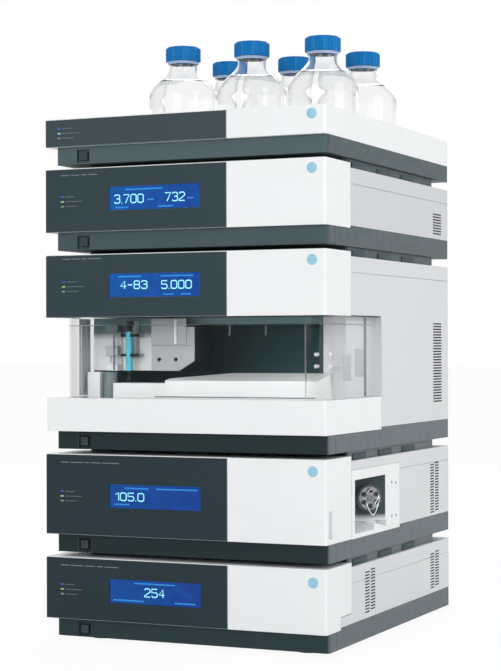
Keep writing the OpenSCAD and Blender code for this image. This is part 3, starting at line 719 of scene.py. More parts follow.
class Finish(Enum):
    """Every finish of the stack."""

    PANEL = MouldedPlastic("panel_white_plastic", tone(241, 243, 244), roughness=0.4)
    PUMP_COVER = PowderCoat("pump_cover_coat", tone(210, 212, 214))
    COVER = PowderCoat("cover_coat", tone(220, 222, 224))
    # Lit and shaded copies of one plastic: the lower fascias are painted darker as shade.
    FASCIA_TOP = fascia_plastic("top", tone(54, 69, 74))
    FASCIA_MIDDLE = fascia_plastic("middle", tone(42, 60, 66))
    FASCIA_LOW = fascia_plastic("low", tone(29, 47, 54))
    # The four bases are lit and shaded copies of one plastic: painted shade on the lower fronts, painted
    # light on the lower sides.
    BASE_TOP = base_plastic("top", tone(77, 95, 99), tone(66, 82, 86))
    BASE_UPPER = base_plastic("upper", tone(67, 84, 88), tone(74, 88, 92))
    BASE_LOWER = base_plastic("lower", tone(22, 40, 43), tone(97, 106, 111))
    BASE_BOTTOM = base_plastic("bottom", tone(36, 55, 58), tone(92, 102, 107))
    BUTTON = MouldedPlastic("button_dark_plastic", tone(52, 66, 70), roughness=0.35, edge_mm=0.5, gloss=0.25)
    CAP = MouldedPlastic("cap_blue_plastic", tone(0, 116, 186), roughness=0.2, edge_mm=0.9, gloss=0.12)
    RING = MouldedPlastic("ring_blue_plastic", tone(176, 200, 230), roughness=0.25, edge_mm=0.3, soft=0.5)
    BLACK = MouldedPlastic("knob_black_plastic", tone(24, 34, 38), roughness=0.35, edge_mm=0.4, gloss=0.2)
    # Inside and header painted lighter than the outside and front edges: painted light against the chamber's
    # shade.
    LINER = LiningPlastic("liner_dark_plastic", tone(96, 145, 153), roughness=0.5, gloss=0.15,
                          start=438.35, end=438.45, second=tone(104, 132, 135), outside=tone(58, 78, 83))
    UNIT = MouldedPlastic("unit_grey_plastic", tone(214, 218, 222), roughness=0.4)
    SYRINGE_MOUNT = ZonedPlastic("syringe_mount_plastic", tone(24, 34, 38), roughness=0.4, letter="Y",
                                 start=-164, end=-163.5, second=tone(190, 195, 198), gloss=0.2)
    # Its top fades over 10 mm to a darker grey: partly the header's darker colour, partly a painted shadow of
    # the crown above.
    NEEDLE_UNIT = ZonedPlastic("needle_unit_plastic", tone(237, 236, 237), roughness=0.38, letter="Z",
                               start=418, end=428, second=tone(96, 116, 119))
    # Behind its front plate it turns dark: partly the dark mechanism behind the thin plate, partly painted
    # shade on the cover's side.
    VALVE_COVER = ZonedPlastic("valve_cover_plastic", tone(180, 181, 185), roughness=0.4, letter="Y",
                               start=-170.5, end=-169.5, second=tone(34, 48, 52), gloss=0.2)
    DECK = MouldedPlastic("deck_white_plastic", tone(242, 242, 242), roughness=0.38)
    PORT = MouldedPlastic("port_grey_plastic", tone(120, 136, 138), roughness=0.3)
    # Inside the valve's recess, above the drain ramp, it fades to dark: partly the recess's dark walls,
    # partly painted shade in the recess.
    BEZEL = ZonedPlastic("bezel_white_plastic", tone(241, 243, 244), roughness=0.35, edge_mm=0.5,
                         second=tone(48, 66, 70), letter="Z", start=163, end=172, inner_x=209.3)
    STATOR = FacedPlastic("stator_steel_grey", tone(196, 198, 202), roughness=0.25, start=177.4, end=177.6,
                          facing=(math.sqrt(0.5), -math.sqrt(0.5), 0), second=tone(66, 74, 80), gloss=0.5)
    RUBBER = MouldedPlastic("foot_rubber", tone(38, 40, 42), roughness=0.8, grain_mm=1.2, depth_mm=0.05)
    # Dark sheet at the floor of the vent slots, as painted shade of the module's inside; also the fan's dark
    # backing.
    SLOT = MouldedPlastic("slot_dark_sheet", tone(12, 17, 20), roughness=0.6, edge_mm=0, gloss=0.2)
    PAD = MouldedPlastic("pad_grey_rubber", tone(72, 87, 91), roughness=0.65, gloss=0.2)
    TRIM = MouldedPlastic("trim_grey_plastic", tone(104, 117, 121), roughness=0.35, edge_mm=0)
    GUIDE = MouldedPlastic("guide_grey_plastic", tone(176, 180, 184), roughness=0.4)
    INK = MouldedPlastic("ink_pale_grey", tone(112, 126, 130), roughness=0.5, edge_mm=0, gloss=0.2)
    LENS = MouldedPlastic("lens_pale_blue", tone(152, 203, 224), roughness=0.15, edge_mm=0.3)
    SYRINGE = MouldedPlastic("syringe_teal_plastic", tone(84, 198, 222), roughness=0.2,
                             variation=0.08, soft=0.2)
    PEG = MouldedPlastic("peg_white_plastic", tone(246, 247, 248), roughness=0.12, edge_mm=0.4)
    STEEL = BrushedMetal("turned_steel", colour=(0.5, 0.51, 0.52), roughness=0.4)
    TUBE = BrushedMetal("drawn_steel_tube", colour=(0.78, 0.79, 0.8), roughness=0.22, stretch=(1, 1, 1))
    SCREW = BrushedMetal("screw_zinc", colour=(0.42, 0.44, 0.46), roughness=0.35, stretch=(1, 1, 1))
    BOTTLE = ClearGlass("bottle_glass_clear", colour=(0.92, 0.925, 0.928), ior=1.36,
                        ripple_mm=0.03, rim=0.42)
    # Its bent ends are tinted darker as painted shade.
    WINDOW = BentAcrylic("window_clear_acrylic", colour=(0.93, 0.945, 0.945), ior=1.17,
                         ripple_mm=0.02)
    # Frosted grey: on the upright ribs beside the window's bends it paints the highlight line there.
    RIB = ClearGlass("window_rib_acrylic", colour=(0.66, 0.68, 0.69), ior=1.3, roughness=0.35)
    DISPLAY = LitDisplay("display_blue_lit", tone(4, 80, 155), tone(10, 62, 146))
    DISPLAY_LOW = LitDisplay("display_low_blue_lit", tone(8, 68, 142), tone(12, 56, 136))
    PLATE = MouldedPlastic("plate_light_grey_plastic", tone(190, 194, 198), roughness=0.45)
    DIGITS = Glow("digits_cyan_lit", tone(140, 218, 238), 0.95)
    MARKS = Glow("marks_blue_lit", tone(30, 134, 208), 0.8)
    LED_BLUE = Glow("lamp_blue", tone(34, 78, 158), 0.7)
    LED_YELLOW = Glow("lamp_yellow", tone(158, 172, 146), 0.5)
    LED_GREEN = Glow("lamp_green", tone(98, 142, 104), 0.5)

    def material(self) -> Material:
        """Gives the finish's material, which is made once."""
        return bpy.data.materials.get(self.value.name) or self.value.build()


SLOT_FINISH = {
    "dark_base": Finish.BASE_LOWER,
    "white_panel": Finish.PANEL,
    "cover_grey": Finish.COVER,
    "dark_fascia": Finish.FASCIA_MIDDLE,
    "display_blue": Finish.DISPLAY,
    "button_dark": Finish.BUTTON,
    "bottle_glass": Finish.BOTTLE,
    "cap_blue": Finish.CAP,
    "ring_blue": Finish.RING,
    "steel": Finish.STEEL,
    "knob_black": Finish.BLACK,
    "clear_window": Finish.WINDOW,
    "liner_dark": Finish.LINER,
    "unit_grey": Finish.UNIT,
    "deck_white": Finish.DECK,
    "syringe_teal": Finish.SYRINGE,
    "port_grey": Finish.PORT,
    "foot_rubber": Finish.RUBBER,
}
NODE_FINISH = {
    "rack_base": Finish.BASE_TOP,
    "pump_base": Finish.BASE_UPPER,
    "detector_base": Finish.BASE_BOTTOM,
    "rack_fascia": Finish.FASCIA_TOP,
    "oven_display": Finish.DISPLAY_LOW,
    "detector_display": Finish.DISPLAY_LOW,
    "oven_fascia": Finish.FASCIA_LOW,
    "detector_fascia": Finish.FASCIA_LOW,
    "pump_housing": Finish.PUMP_COVER,
    "valve_bezel": Finish.BEZEL,
    "valve_stator": Finish.STATOR,
    "valve_cover": Finish.VALVE_COVER,
    "needle_panel": Finish.NEEDLE_UNIT,
    "needle_arm": Finish.GUIDE,
    "syringe_mount": Finish.SYRINGE_MOUNT,
    "syringe_plunger": Finish.BLACK,
}
LAMP_FINISHES = (Finish.LED_BLUE, Finish.LED_YELLOW, Finish.LED_GREEN)


def dress_frame() -> None:
    """Gives every frame node its finish."""
    slots = {part["node"]: part["material_slot"] for part in frame["record"]["subparts"]}
    for name, piece in frame["nodes"].items():
        finish = NODE_FINISH.get(name, SLOT_FINISH[slots[name]])
        for holder in piece.material_slots:
            holder.material = finish.material()
        LOG.info("frame node %s: %s", name, finish.name)


# ---- meshes -----------------------------------------------------------------

SHARP_ANGLE = math.radians(35)
UP = (0, 0, 1)
LENS_SIDES = 40
PEG_SIDES = 24


class Body:
    """Collects closed shapes, in millimetres, for one piece."""

    def __init__(self) -> None:
        """Starts with no shape."""
        self.mesh = bmesh.new()

    def bar(self, low: Point, high: Point, edge: float = 0.0) -> None:
        """Adds a box with chamfered edges.

        Args:
            low: Lowest corner.
            high: Highest corner.
            edge: Width of the chamfers.
        """
        size = Vector(high) - Vector(low)
        middle = (Vector(high) + Vector(low)) / 2
        place = Matrix.Translation(middle) @ Matrix.Diagonal((*size, 1))
        corners = bmesh.ops.create_cube(self.mesh, size=1.0, matrix=place)["verts"]
        if edge:
            edges = {e for v in corners for e in v.link_edges}
            bmesh.ops.bevel(self.mesh, geom=list(edges), offset=edge, segments=2, profile=0.5, affect="EDGES")

    def turned(self, profile: Sequence[Pair], centre: Point, axis: Point, sides: int = 32) -> None:
        """Adds a turned shape.

        Args:
            profile: Radii and heights, from the foot to the top.
            centre: Where height 0 lies.
            axis: Direction of the heights.
            sides: Number of steps round the axis.
        """
        turn = Vector((0, 0, 1)).rotation_difference(Vector(axis)).to_matrix()
        rings = []
        for radius, height in profile:
            count = 1 if radius == 0 else sides
            ring = []
            for step in range(count):
                angle = 2 * math.pi * step / count
                flat = Vector((radius * math.cos(angle), radius * math.sin(angle), height))
                ring.append(self.mesh.verts.new(Vector(centre) + turn @ flat))
            rings.append(ring)
        for lower, upper in zip(rings, rings[1:]):
            self.bridge(lower, upper)
        for ring, flip in ((rings[0], True), (rings[-1], False)):
            if len(ring) > 1:
                self.mesh.faces.new(ring[::-1] if flip else ring)

    def bridge(self, lower: list[bmesh.types.BMVert], upper: list[bmesh.types.BMVert]) -> None:
        """Joins two rings, each of which may be a single point.

        Args:
            lower: The lower ring.
            upper: The upper ring.
        """
        sides = max(len(lower), len(upper))
        for step in range(sides):
            after = (step + 1) % sides
            around = [lower[step % len(lower)], lower[after % len(lower)],
                      upper[after % len(upper)], upper[step % len(upper)]]
            corners = list(dict.fromkeys(around))
            if len(corners) > 2:
                self.mesh.faces.new(corners)

    def take(self, mesh: Mesh) -> None:
        """Adds a finished mesh.

        Args:
            mesh: The mesh, in metres.
        """
        start = len(self.mesh.verts)
        self.mesh.from_mesh(mesh)
        self.mesh.verts.ensure_lookup_table()
        for corner in self.mesh.verts[start:]:
            corner.co /= MM

    def piece(self, name: str, body: str, slot: str, finish: Finish) -> bpy.types.Object:
        """Ends the shapes as one piece.

        Args:
            name: The piece's name.
            body: The frame body that it rides on.
            slot: Not used.
            finish: Its finish.

        Returns:
            The piece.
        """
        bmesh.ops.recalc_face_normals(self.mesh, faces=self.mesh.faces)
        bmesh.ops.scale(self.mesh, vec=(MM, MM, MM), verts=self.mesh.verts)
        mesh = bpy.data.meshes.new(name)
        self.mesh.to_mesh(mesh)
        self.mesh.free()
        for face in mesh.polygons:
            face.use_smooth = True
        mesh.set_sharp_from_angle(angle=SHARP_ANGLE)
        mesh.materials.append(finish.material())
        made = bpy.data.objects.new(name, mesh)
        bpy.context.scene.collection.objects.link(made)
        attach(made, body)
        LOG.info("piece %s: %d faces on %s", name, len(mesh.polygons), body)
        return made


def slab(name: str, body: str, slot: str, finish: Finish, bars: list[Span], edge: float = 0) -> None:
    """Makes one piece from bars with equal chamfers.

    Args:
        name: The piece's name.
        body: The frame body that it rides on.
        slot: Passed on to Body.piece, which does not use it.
        finish: Its finish.
        bars: Lowest and highest corner of each bar.
        edge: Width of their chamfers.
    """
    made = Body()
    for low, high in bars:
        made.bar(low, high, edge)
    made.piece(name, body, slot, finish)


def arc(start: int, stop: int, step: int) -> list[float]:
    """Gives angles from start to stop in radians, from whole degrees."""
    return [math.radians(angle) for angle in range(start, stop + 1, step)]


# ---- geometry nodes ---------------------------------------------------------

BEAD_SIDES = 10
SCREW_SIDES = 18
SCREW_SEED = 7
# Radii and heights of a screw head of radius 1, with its recess.
SCREW_PROFILE = ((0, 0), (1, 0), (1, 0.3), (0.8, 0.55), (0.45, 0.6), (0.42, 0.15), (0, 0.1))


class NodeTree:
    """Builds a Geometry Nodes tree with named inputs and bakes it to plain meshes."""

    def __init__(self, name: str, inputs: dict[str, str]) -> None:
        """Starts a tree.

        Args:
            name: The tree's name.
            inputs: Names of the inputs and the types of their sockets.
        """
        self.tree = bpy.data.node_groups.new(name, "GeometryNodeTree")
        face = self.tree.interface
        face.new_socket("Geometry", in_out="INPUT", socket_type="NodeSocketGeometry")
        for key, kind in inputs.items():
            face.new_socket(key, in_out="INPUT", socket_type="NodeSocket" + kind)
        face.new_socket("Geometry", in_out="OUTPUT", socket_type="NodeSocketGeometry")
        self.given = self.tree.nodes.new("NodeGroupInput").outputs
        self.result = self.tree.nodes.new("NodeGroupOutput").inputs["Geometry"]

    def node(self, kind: str, links: dict[str, Socket], **settings: object) -> bpy.types.Node:
        """Adds a node.

        Args:
            kind: The node's type, without its common first words.
            links: Its inputs and the sockets that feed them.
            settings: Attributes to set on it.

        Returns:
            The node.
        """
        made = self.tree.nodes.new(kind)
        for key, value in settings.items():
            setattr(made, key, value)
        for key, socket in links.items():
            self.tree.links.new(socket, made.inputs[key])
        return made

    def end(self, geometry: Socket) -> None:
        """Ends the tree with real geometry and its material.

        Args:
            geometry: What the tree has made.
        """
        real = self.node("GeometryNodeRealizeInstances", {"Geometry": geometry})
        dressed = self.node("GeometryNodeSetMaterial",
                            {"Geometry": real.outputs[0], "Material": self.given["Material"]})
        self.tree.links.new(dressed.outputs[0], self.result)

    def bake(self, source: Mesh, values: dict[str, object]) -> Mesh:
        """Runs the tree once.

        Args:
            source: Mesh that the tree starts from.
            values: Values of the named inputs.

        Returns:
            The plain mesh, in metres.
        """
        holder = bpy.data.objects.new("node_source", source)
        bpy.context.scene.collection.objects.link(holder)
        modifier = holder.modifiers.new("nodes", "NODES")
        modifier.node_group = self.tree
        for item in self.tree.interface.items_tree:
            if item.in_out == "INPUT" and item.name in values:
                modifier[item.identifier] = values[item.name]
        view = bpy.context.evaluated_depsgraph_get()
        mesh = bpy.data.meshes.new_from_object(holder.evaluated_get(view))
        bpy.data.objects.remove(holder)
        return mesh


def metres(values: tuple[float, ...]) -> tuple[float, ...]:
    """Turns millimetres into metres."""
    return tuple(value * MM for value in values)


class BarRow(NodeTree):
    """Row of equal bars."""

    def __init__(self) -> None:
        """Builds the tree."""
        super().__init__("bar_row", {"Count": "Int", "Start": "Vector", "Step": "Vector",
                                     "Size": "Vector", "Material": "Material"})
        line = self.node("GeometryNodeMeshLine",
                         {"Count": self.given["Count"], "Start Location": self.given["Start"],
                          "Offset": self.given["Step"]})
        bar = self.node("GeometryNodeMeshCube", {"Size": self.given["Size"]})
        spread = self.node("GeometryNodeInstanceOnPoints",
                           {"Points": line.outputs["Mesh"], "Instance": bar.outputs["Mesh"]})
        self.end(spread.outputs["Instances"])

    def row(self, count: int, start: Point, step: Point, size: Point, finish: Finish) -> Mesh:
        """Makes one row.

        Args:
            count: Number of bars.
            start: Middle of the first bar.
            step: From one bar to the next.
            size: Size of a bar.
            finish: Its finish.

        Returns:
            The row's mesh, in metres.
        """
        return self.bake(bpy.data.meshes.new("row"), {
            "Count": count, "Start": metres(start), "Step": metres(step), "Size": metres(size),
            "Material": finish.material()})


class ScrewField(NodeTree):
    """Screw heads at the points of a mesh, turned at random about their axis."""

    def __init__(self) -> None:
        """Builds the tree."""
        super().__init__("screw_field", {"Screw": "Object", "Seed": "Int", "Turn": "Vector",
                                         "Material": "Material"})
        head = self.node("GeometryNodeObjectInfo", {"Object": self.given["Screw"]})
        spin = self.node("FunctionNodeRandomValue", {"Seed": self.given["Seed"]}, data_type="FLOAT")
        spin.inputs[3].default_value = math.pi  # the greatest of the random numbers
        about = self.node("ShaderNodeCombineXYZ", {"Z": spin.outputs[1]})
        spread = self.node("GeometryNodeInstanceOnPoints",
                           {"Points": self.given["Geometry"], "Instance": head.outputs["Geometry"],
                            "Rotation": self.given["Turn"]})
        turned = self.node("GeometryNodeRotateInstances",
                           {"Instances": spread.outputs["Instances"], "Rotation": about.outputs[0]})
        self.end(turned.outputs["Instances"])

    def screws(self, points: list[Point], radius: float, turn: Point, finish: Finish) -> Mesh:
        """Makes the heads of a group of equal screws.

        Args:
            points: Middles of the heads' seats.
            radius: Radius of a head.
            turn: Rotation from upright to the screws' direction.
            finish: Their finish.

        Returns:
            The heads' mesh, in metres.
        """
        head = Body()
        head.turned([(radius * out, radius * up) for out, up in SCREW_PROFILE], (0, 0, 0), UP, SCREW_SIDES)
        bmesh.ops.scale(head.mesh, vec=(MM, MM, MM), verts=head.mesh.verts)
        mesh = bpy.data.meshes.new("screw_head")
        head.mesh.to_mesh(mesh)
        head.mesh.free()
        screw = bpy.data.objects.new("screw_head", mesh)
        source = bpy.data.meshes.new("screw_points")
        source.from_pydata([metres(point) for point in points], [], [])
        baked = self.bake(source, {"Screw": screw, "Seed": SCREW_SEED, "Turn": turn,
                                    "Material": finish.material()})
        bpy.data.objects.remove(screw)
        return baked


class Bead(NodeTree):
    """Round bead along a path."""

    def __init__(self) -> None:
        """Builds the tree."""
        super().__init__("bead", {"Radius": "Float", "Material": "Material"})
        path = self.node("GeometryNodeMeshToCurve", {"Mesh": self.given["Geometry"]})
        ring = self.node("GeometryNodeCurvePrimitiveCircle", {"Radius": self.given["Radius"]})
        ring.inputs["Resolution"].default_value = BEAD_SIDES
        swept = self.node("GeometryNodeCurveToMesh",
                          {"Curve": path.outputs["Curve"], "Profile Curve": ring.outputs["Curve"]})
        swept.inputs["Fill Caps"].default_value = True
        self.end(swept.outputs["Mesh"])

    def along(self, points: list[Point], radius: float, finish: Finish) -> Mesh:
        """Makes a bead.

        Args:
            points: Points of the path.
            radius: Radius of the bead.
            finish: Its finish.

        Returns:
            The bead's mesh, in metres.
        """
        path = bpy.data.meshes.new("path")
        links = [(index, index + 1) for index in range(len(points) - 1)]
        path.from_pydata([metres(point) for point in points], links, [])
        return self.bake(path, {"Radius": radius * MM, "Material": finish.material()})


BARS = BarRow()
SCREWS = ScrewField()
BEADS = Bead()


# ---- front panels -----------------------------------------------------------


@dataclass(frozen=True)
class Reading:
    """A number on a display.

    Attributes:
        text: The number.
        left: x of its left end.
        right: x of its right end.
        low: z of its foot, above the display's foot.
        high: z of its top, above the display's foot.
    """

    text: str
    left: float
    right: float
    low: float
    high: float


# A digit is its width and its strokes, in a box 1 high and at most 1 wide.
Stroke = tuple[Pair, ...]
DIGIT_GAP = 0.3
ROUND_BOX: Stroke = ((0.2, 0), (0.8, 0), (1, 0.15), (1, 0.85), (0.8, 1), (0.2, 1), (0, 0.85), (0, 0.15),
                     (0.2, 0))
LOW_BOWL: Stroke = ((1, 0.42), (1, 0.15), (0.8, 0), (0.2, 0), (0, 0.15))
GLYPHS: dict[str, tuple[float, tuple[Stroke, ...]]] = {
    "0": (1, (ROUND_BOX,)),
    "1": (0.6, (((0.1, 0.8), (0.6, 1), (0.6, 0)),)),
    "2": (1, (((0, 0.85), (0.2, 1), (0.8, 1), (1, 0.85), (1, 0.62), (0, 0.12), (0, 0), (1, 0)),)),
    "3": (1, (((0, 0.86), (0.2, 1), (0.8, 1), (0.97, 0.86), (0.97, 0.66), (0.8, 0.54), (0.4, 0.54)),
              ((0.8, 0.54), *LOW_BOWL))),
    "4": (1, (((0.75, 0), (0.75, 1), (0, 0.33), (1, 0.33)),)),
    "5": (1, (((1, 1), (0.05, 1), (0, 0.56), (0.8, 0.58), *LOW_BOWL),)),
    "7": (1, (((0, 1), (1, 1), (0.35, 0)),)),
    "8": (1, (((0.2, 0.53), (0.04, 0.66), (0.04, 0.88), (0.2, 1), (0.8, 1), (0.96, 0.88), (0.96, 0.66),
               (0.8, 0.53), (0.2, 0.53), (0, 0.38), (0, 0.13), (0.2, 0), (0.8, 0), (1, 0.13), (1, 0.38),
               (0.8, 0.53)),)),
    ".": (0.12, (((0, 0), (0.12, 0)),)),
    "-": (0.8, (((0, 0.5), (0.8, 0.5)),)),
}


@dataclass(frozen=True)
class MarkLine:
    """A line of small lit marks on a display.

    Attributes:
        left: x of the first mark.
        count: Number of marks.
        up: z of the line above the display's foot.
    """

    left: float
    count: int
    up: float


@dataclass
class FrontPanel:
    """Dark part of a module's front: lamps, label bars, display, and a lighter strip painted as the highlight
    on the fascia's lower and right edges.

    Attributes:
        module: The module's name.
        body: Frame body that it rides on.
        lamp_x: x of the lamps.
        lamp_drop: Distance of the first lamp from the panel's top.
        lens_drop: Distance of the pale lens from the panel's top.
        titles: Lengths of the title's bars.
        title_drop: Distance of the title's bars from the panel's top.
        readings: Numbers on the display.
        marks: Small marks on the display.
        lamp_pitch: Distance from one lamp to the next.
        lamp_size: Width and height of a lamp.
        lamp_reach: How far a lamp stands out of the fascia and reaches into it.
        bar_lengths: Lengths of the rows of bars beside the lamps.
        bar_gap: Gap between a lamp and its row.
        bar_pitch: Distance from one bar of a row to the next.
        bar_size: Size of a bar of a row.
        bar_out: How far it stands out.
        title_height: Height of the title's bars.
        title_out: How far they stand out and reach in.
        title_gap: Gap between the title's bars.
        title_left: Distance of the title's left end from the lamps' middle.
        highlight_width: Width of the painted edge highlight.
        highlight_left: Distance of the painted highlight from the fascia's left end.
        highlight_reach: How far it stands out and reaches in.
        lens_x: x of the lens.
        lens_radius: Radius of the lens.
        lens_rim: Height of the lens's straight rim, and its depth in the panel.
        lens_rise: Height of its dome above the rim.
        stroke: Half the width of a digit's strokes.
        digit_flatness: Share of the strokes' thickness that is left.
        digit_out: How far their middle stands out.
        mark_pitch: Distance from one mark to the next.
        mark_size: Size of a mark.
        mark_out: How far its middle stands out.
    """

    module: str
    body: str
    lamp_x: float
    lamp_drop: float
    lens_drop: float
    titles: tuple[float, ...] = ()
    title_drop: float = 9.0
    readings: tuple[Reading, ...] = ()
    marks: tuple[MarkLine, ...] = ()
    lamp_pitch: float = 6.6
    lamp_size: Pair = (5.0, 2.0)
    lamp_reach: Pair = (0.25, 0.5)
    bar_lengths: tuple[float, ...] = (17, 27, 18)
    bar_gap: float = 4.0
    bar_pitch: float = 3.0
    bar_size: Point = (2.0, 0.14, 1.1)
    bar_out: float = 0.04
    title_height: float = 1.3
    title_out: float = 0.1
    title_gap: float = 2.4
    title_left: float = 2.0
    highlight_width: float = 0.8
    highlight_left: float = 0.6
    highlight_reach: Pair = (0.12, 0.3)
    lens_x: float = 191.0
    lens_radius: float = 7.2
    lens_rim: float = 0.3
    lens_rise: float = 0.5
    stroke: float = 0.8
    digit_flatness: float = 0.15
    digit_out: float = 0.05
    mark_pitch: float = 2.6
    mark_size: Point = (1.7, 0.16, 2.0)
    mark_out: float = 0.06

    def build(self) -> None:
        """Makes every piece of the panel."""
        self.low, self.high = node_box(self.module + "_fascia")
        self.front = self.low.y
        self.build_lamps()
        self.build_bars()
        self.build_edge_highlight()
        self.build_lens()
        if self.readings:
            self.screen = node_box(self.module + "_display")[0]
            self.build_readings()
            self.build_marks()

    def lamp_heights(self) -> list[float]:
        """Gives z of the lamps."""
        return [self.high.z - self.lamp_drop - step * self.lamp_pitch for step in range(len(LAMP_FINISHES))]

    def build_lamps(self) -> None:
        """Makes the three status lamps, each a small rounded light guide."""
        wide, tall = self.lamp_size
        out, back = self.lamp_reach
        for number, (z, finish) in enumerate(zip(self.lamp_heights(), LAMP_FINISHES), 1):
            corners = ((self.lamp_x - wide / 2, self.front - out, z - tall / 2),
                       (self.lamp_x + wide / 2, self.front + back, z + tall / 2))
            slab(f"{self.module}_lamp_{number}", self.body, "display_blue", finish, [corners], 0.2)

    def build_bars(self) -> None:
        """Makes the short bars beside the lamps and in the title's place."""
        bars = Body()
        left = self.lamp_x + self.lamp_size[0] / 2 + self.bar_gap
        for z, length in zip(self.lamp_heights(), self.bar_lengths):
            bars.take(BARS.row(int(length / self.bar_pitch), (left, self.front - self.bar_out, z),
                               (self.bar_pitch, 0, 0), self.bar_size, Finish.INK))
        left = self.lamp_x - self.title_left
        foot = self.high.z - self.title_drop - self.title_height / 2
        top = foot + self.title_height
        out, back = self.front - self.title_out, self.front + self.title_out
        for length in self.titles:
            bars.bar((left, out, foot), (left + length, back, top))
            left += length + self.title_gap
        bars.piece(self.module + "_label_bars", self.body, "white_panel", Finish.INK)

    def build_edge_highlight(self) -> None:
        """Makes the thin lighter strip along the fascia's foot and right end, a painted highlight where these
        edges catch the light.
        """
        low, high, turn = self.low, self.high, self.low.z + self.highlight_width
        out, back = self.front - self.highlight_reach[0], self.front + self.highlight_reach[1]
        slab(self.module + "_fascia_edge", self.body, "dark_fascia", Finish.TRIM,
             [((low.x + self.highlight_left, out, low.z), (high.x, back, turn)),
              ((high.x - self.highlight_width, out, turn), (high.x, back, high.z))])

    def build_lens(self) -> None:
        """Makes the pale round lens in the white panel's upper corner."""
        radius, rim, rise = self.lens_radius, self.lens_rim, self.lens_rise
        lens = Body()
        dome = [(0, -rim), (radius, -rim), (radius, 0.25)]
        dome += [(radius * 0.9 * math.cos(angle), rim + rise * math.sin(angle))
                 for angle in arc(0, 75, 15)]
        dome.append((0, rim + rise))
        lens.turned(dome, (self.lens_x, self.front, self.high.z - self.lens_drop), (0, -1, 0),
                    LENS_SIDES)
        lens.piece(self.module + "_status_lens", self.body, "ring_blue", Finish.LENS)

    def build_readings(self) -> None:
        """Makes the lit numbers from flat strokes, fitted to their places."""
        for number, reading in enumerate(self.readings, 1):
            glyphs = [GLYPHS[sign] for sign in reading.text]
            units = sum(width for width, _ in glyphs) + DIGIT_GAP * (len(glyphs) - 1)
            wide = (reading.right - reading.left) / units
            tall = reading.high - reading.low
            foot = self.screen.z + reading.low
            digits = Body()
            left = reading.left
            for width, strokes in glyphs:
                for stroke in strokes:
                    path = [(left + x * wide, 0, foot + z * tall) for x, z in stroke]
                    digits.take(BEADS.along(path, self.stroke, Finish.DIGITS))
                left += (width + DIGIT_GAP) * wide
            for corner in digits.mesh.verts:
                corner.co.y = self.screen.y - self.digit_out + corner.co.y * self.digit_flatness
            digits.piece(f"{self.module}_reading_{number}", self.body, "display_blue", Finish.DIGITS)

    def build_marks(self) -> None:
        """Makes the lines of small lit marks."""
        marks = Body()
        for line in self.marks:
            start = (line.left, self.screen.y - self.mark_out, self.screen.z + line.up)
            marks.take(BARS.row(line.count, start, (self.mark_pitch, 0, 0), self.mark_size,
                                Finish.MARKS))
        marks.piece(self.module + "_display_marks", self.body, "display_blue", Finish.MARKS)


FRONT_PANELS = (
    FrontPanel("rack", "stack", -188.5, 12, 10.5),
    FrontPanel("pump", "pump_door", -183.5, 37.7, 12.2, titles=(13, 14, 9, 14), title_drop=8.0,
               readings=(Reading("3.700", -102, -57.5, 9.2, 20.4), Reading("732", -24, 5.2, 9.6, 20.9)),
               marks=(MarkLine(-84, 22, 27.5), MarkLine(-100, 8, 3.2), MarkLine(-34, 9, 3.2),
                      MarkLine(-50, 4, 13), MarkLine(10, 4, 13))),
    FrontPanel("sampler", "stack", -182, 36.4, 12.9, titles=(13, 12, 9, 20), title_drop=4.8,
               readings=(Reading("4-83", -93, -52, 11.2, 21.6), Reading("5.000", -30, 15, 10.6, 21.2)),
               marks=(MarkLine(-96, 14, 27.8), MarkLine(-30, 19, 27.8), MarkLine(-26, 6, 3),
                      MarkLine(0, 6, 3))),
    FrontPanel("oven", "oven_door", -185, 50.6, 14.1, titles=(13, 20, 7, 16, 26), title_drop=10.2,
               readings=(Reading("105.0", -102, -58, 10.4, 20.8),),
               marks=(MarkLine(-86, 14, 27.4), MarkLine(-38, 24, 27.4), MarkLine(-102, 9, 5))),
    FrontPanel("detector", "detector_door", -185, 36.8, 16.3, titles=(13, 20, 16, 10, 22), title_drop=10.0,
               readings=(Reading("254", -57, -27, 10.5, 21.5),),
               marks=(MarkLine(-72, 24, 28), MarkLine(-104, 18, 4), MarkLine(-10, 12, 4))),
)


# ---- bottles ----------------------------------------------------------------


# Distances from the wall and heights above the level, where the solvent climbs the glass.
SOLVENT_EDGE = ((0, 0.6), (0.8, 0.25), (3, 0))


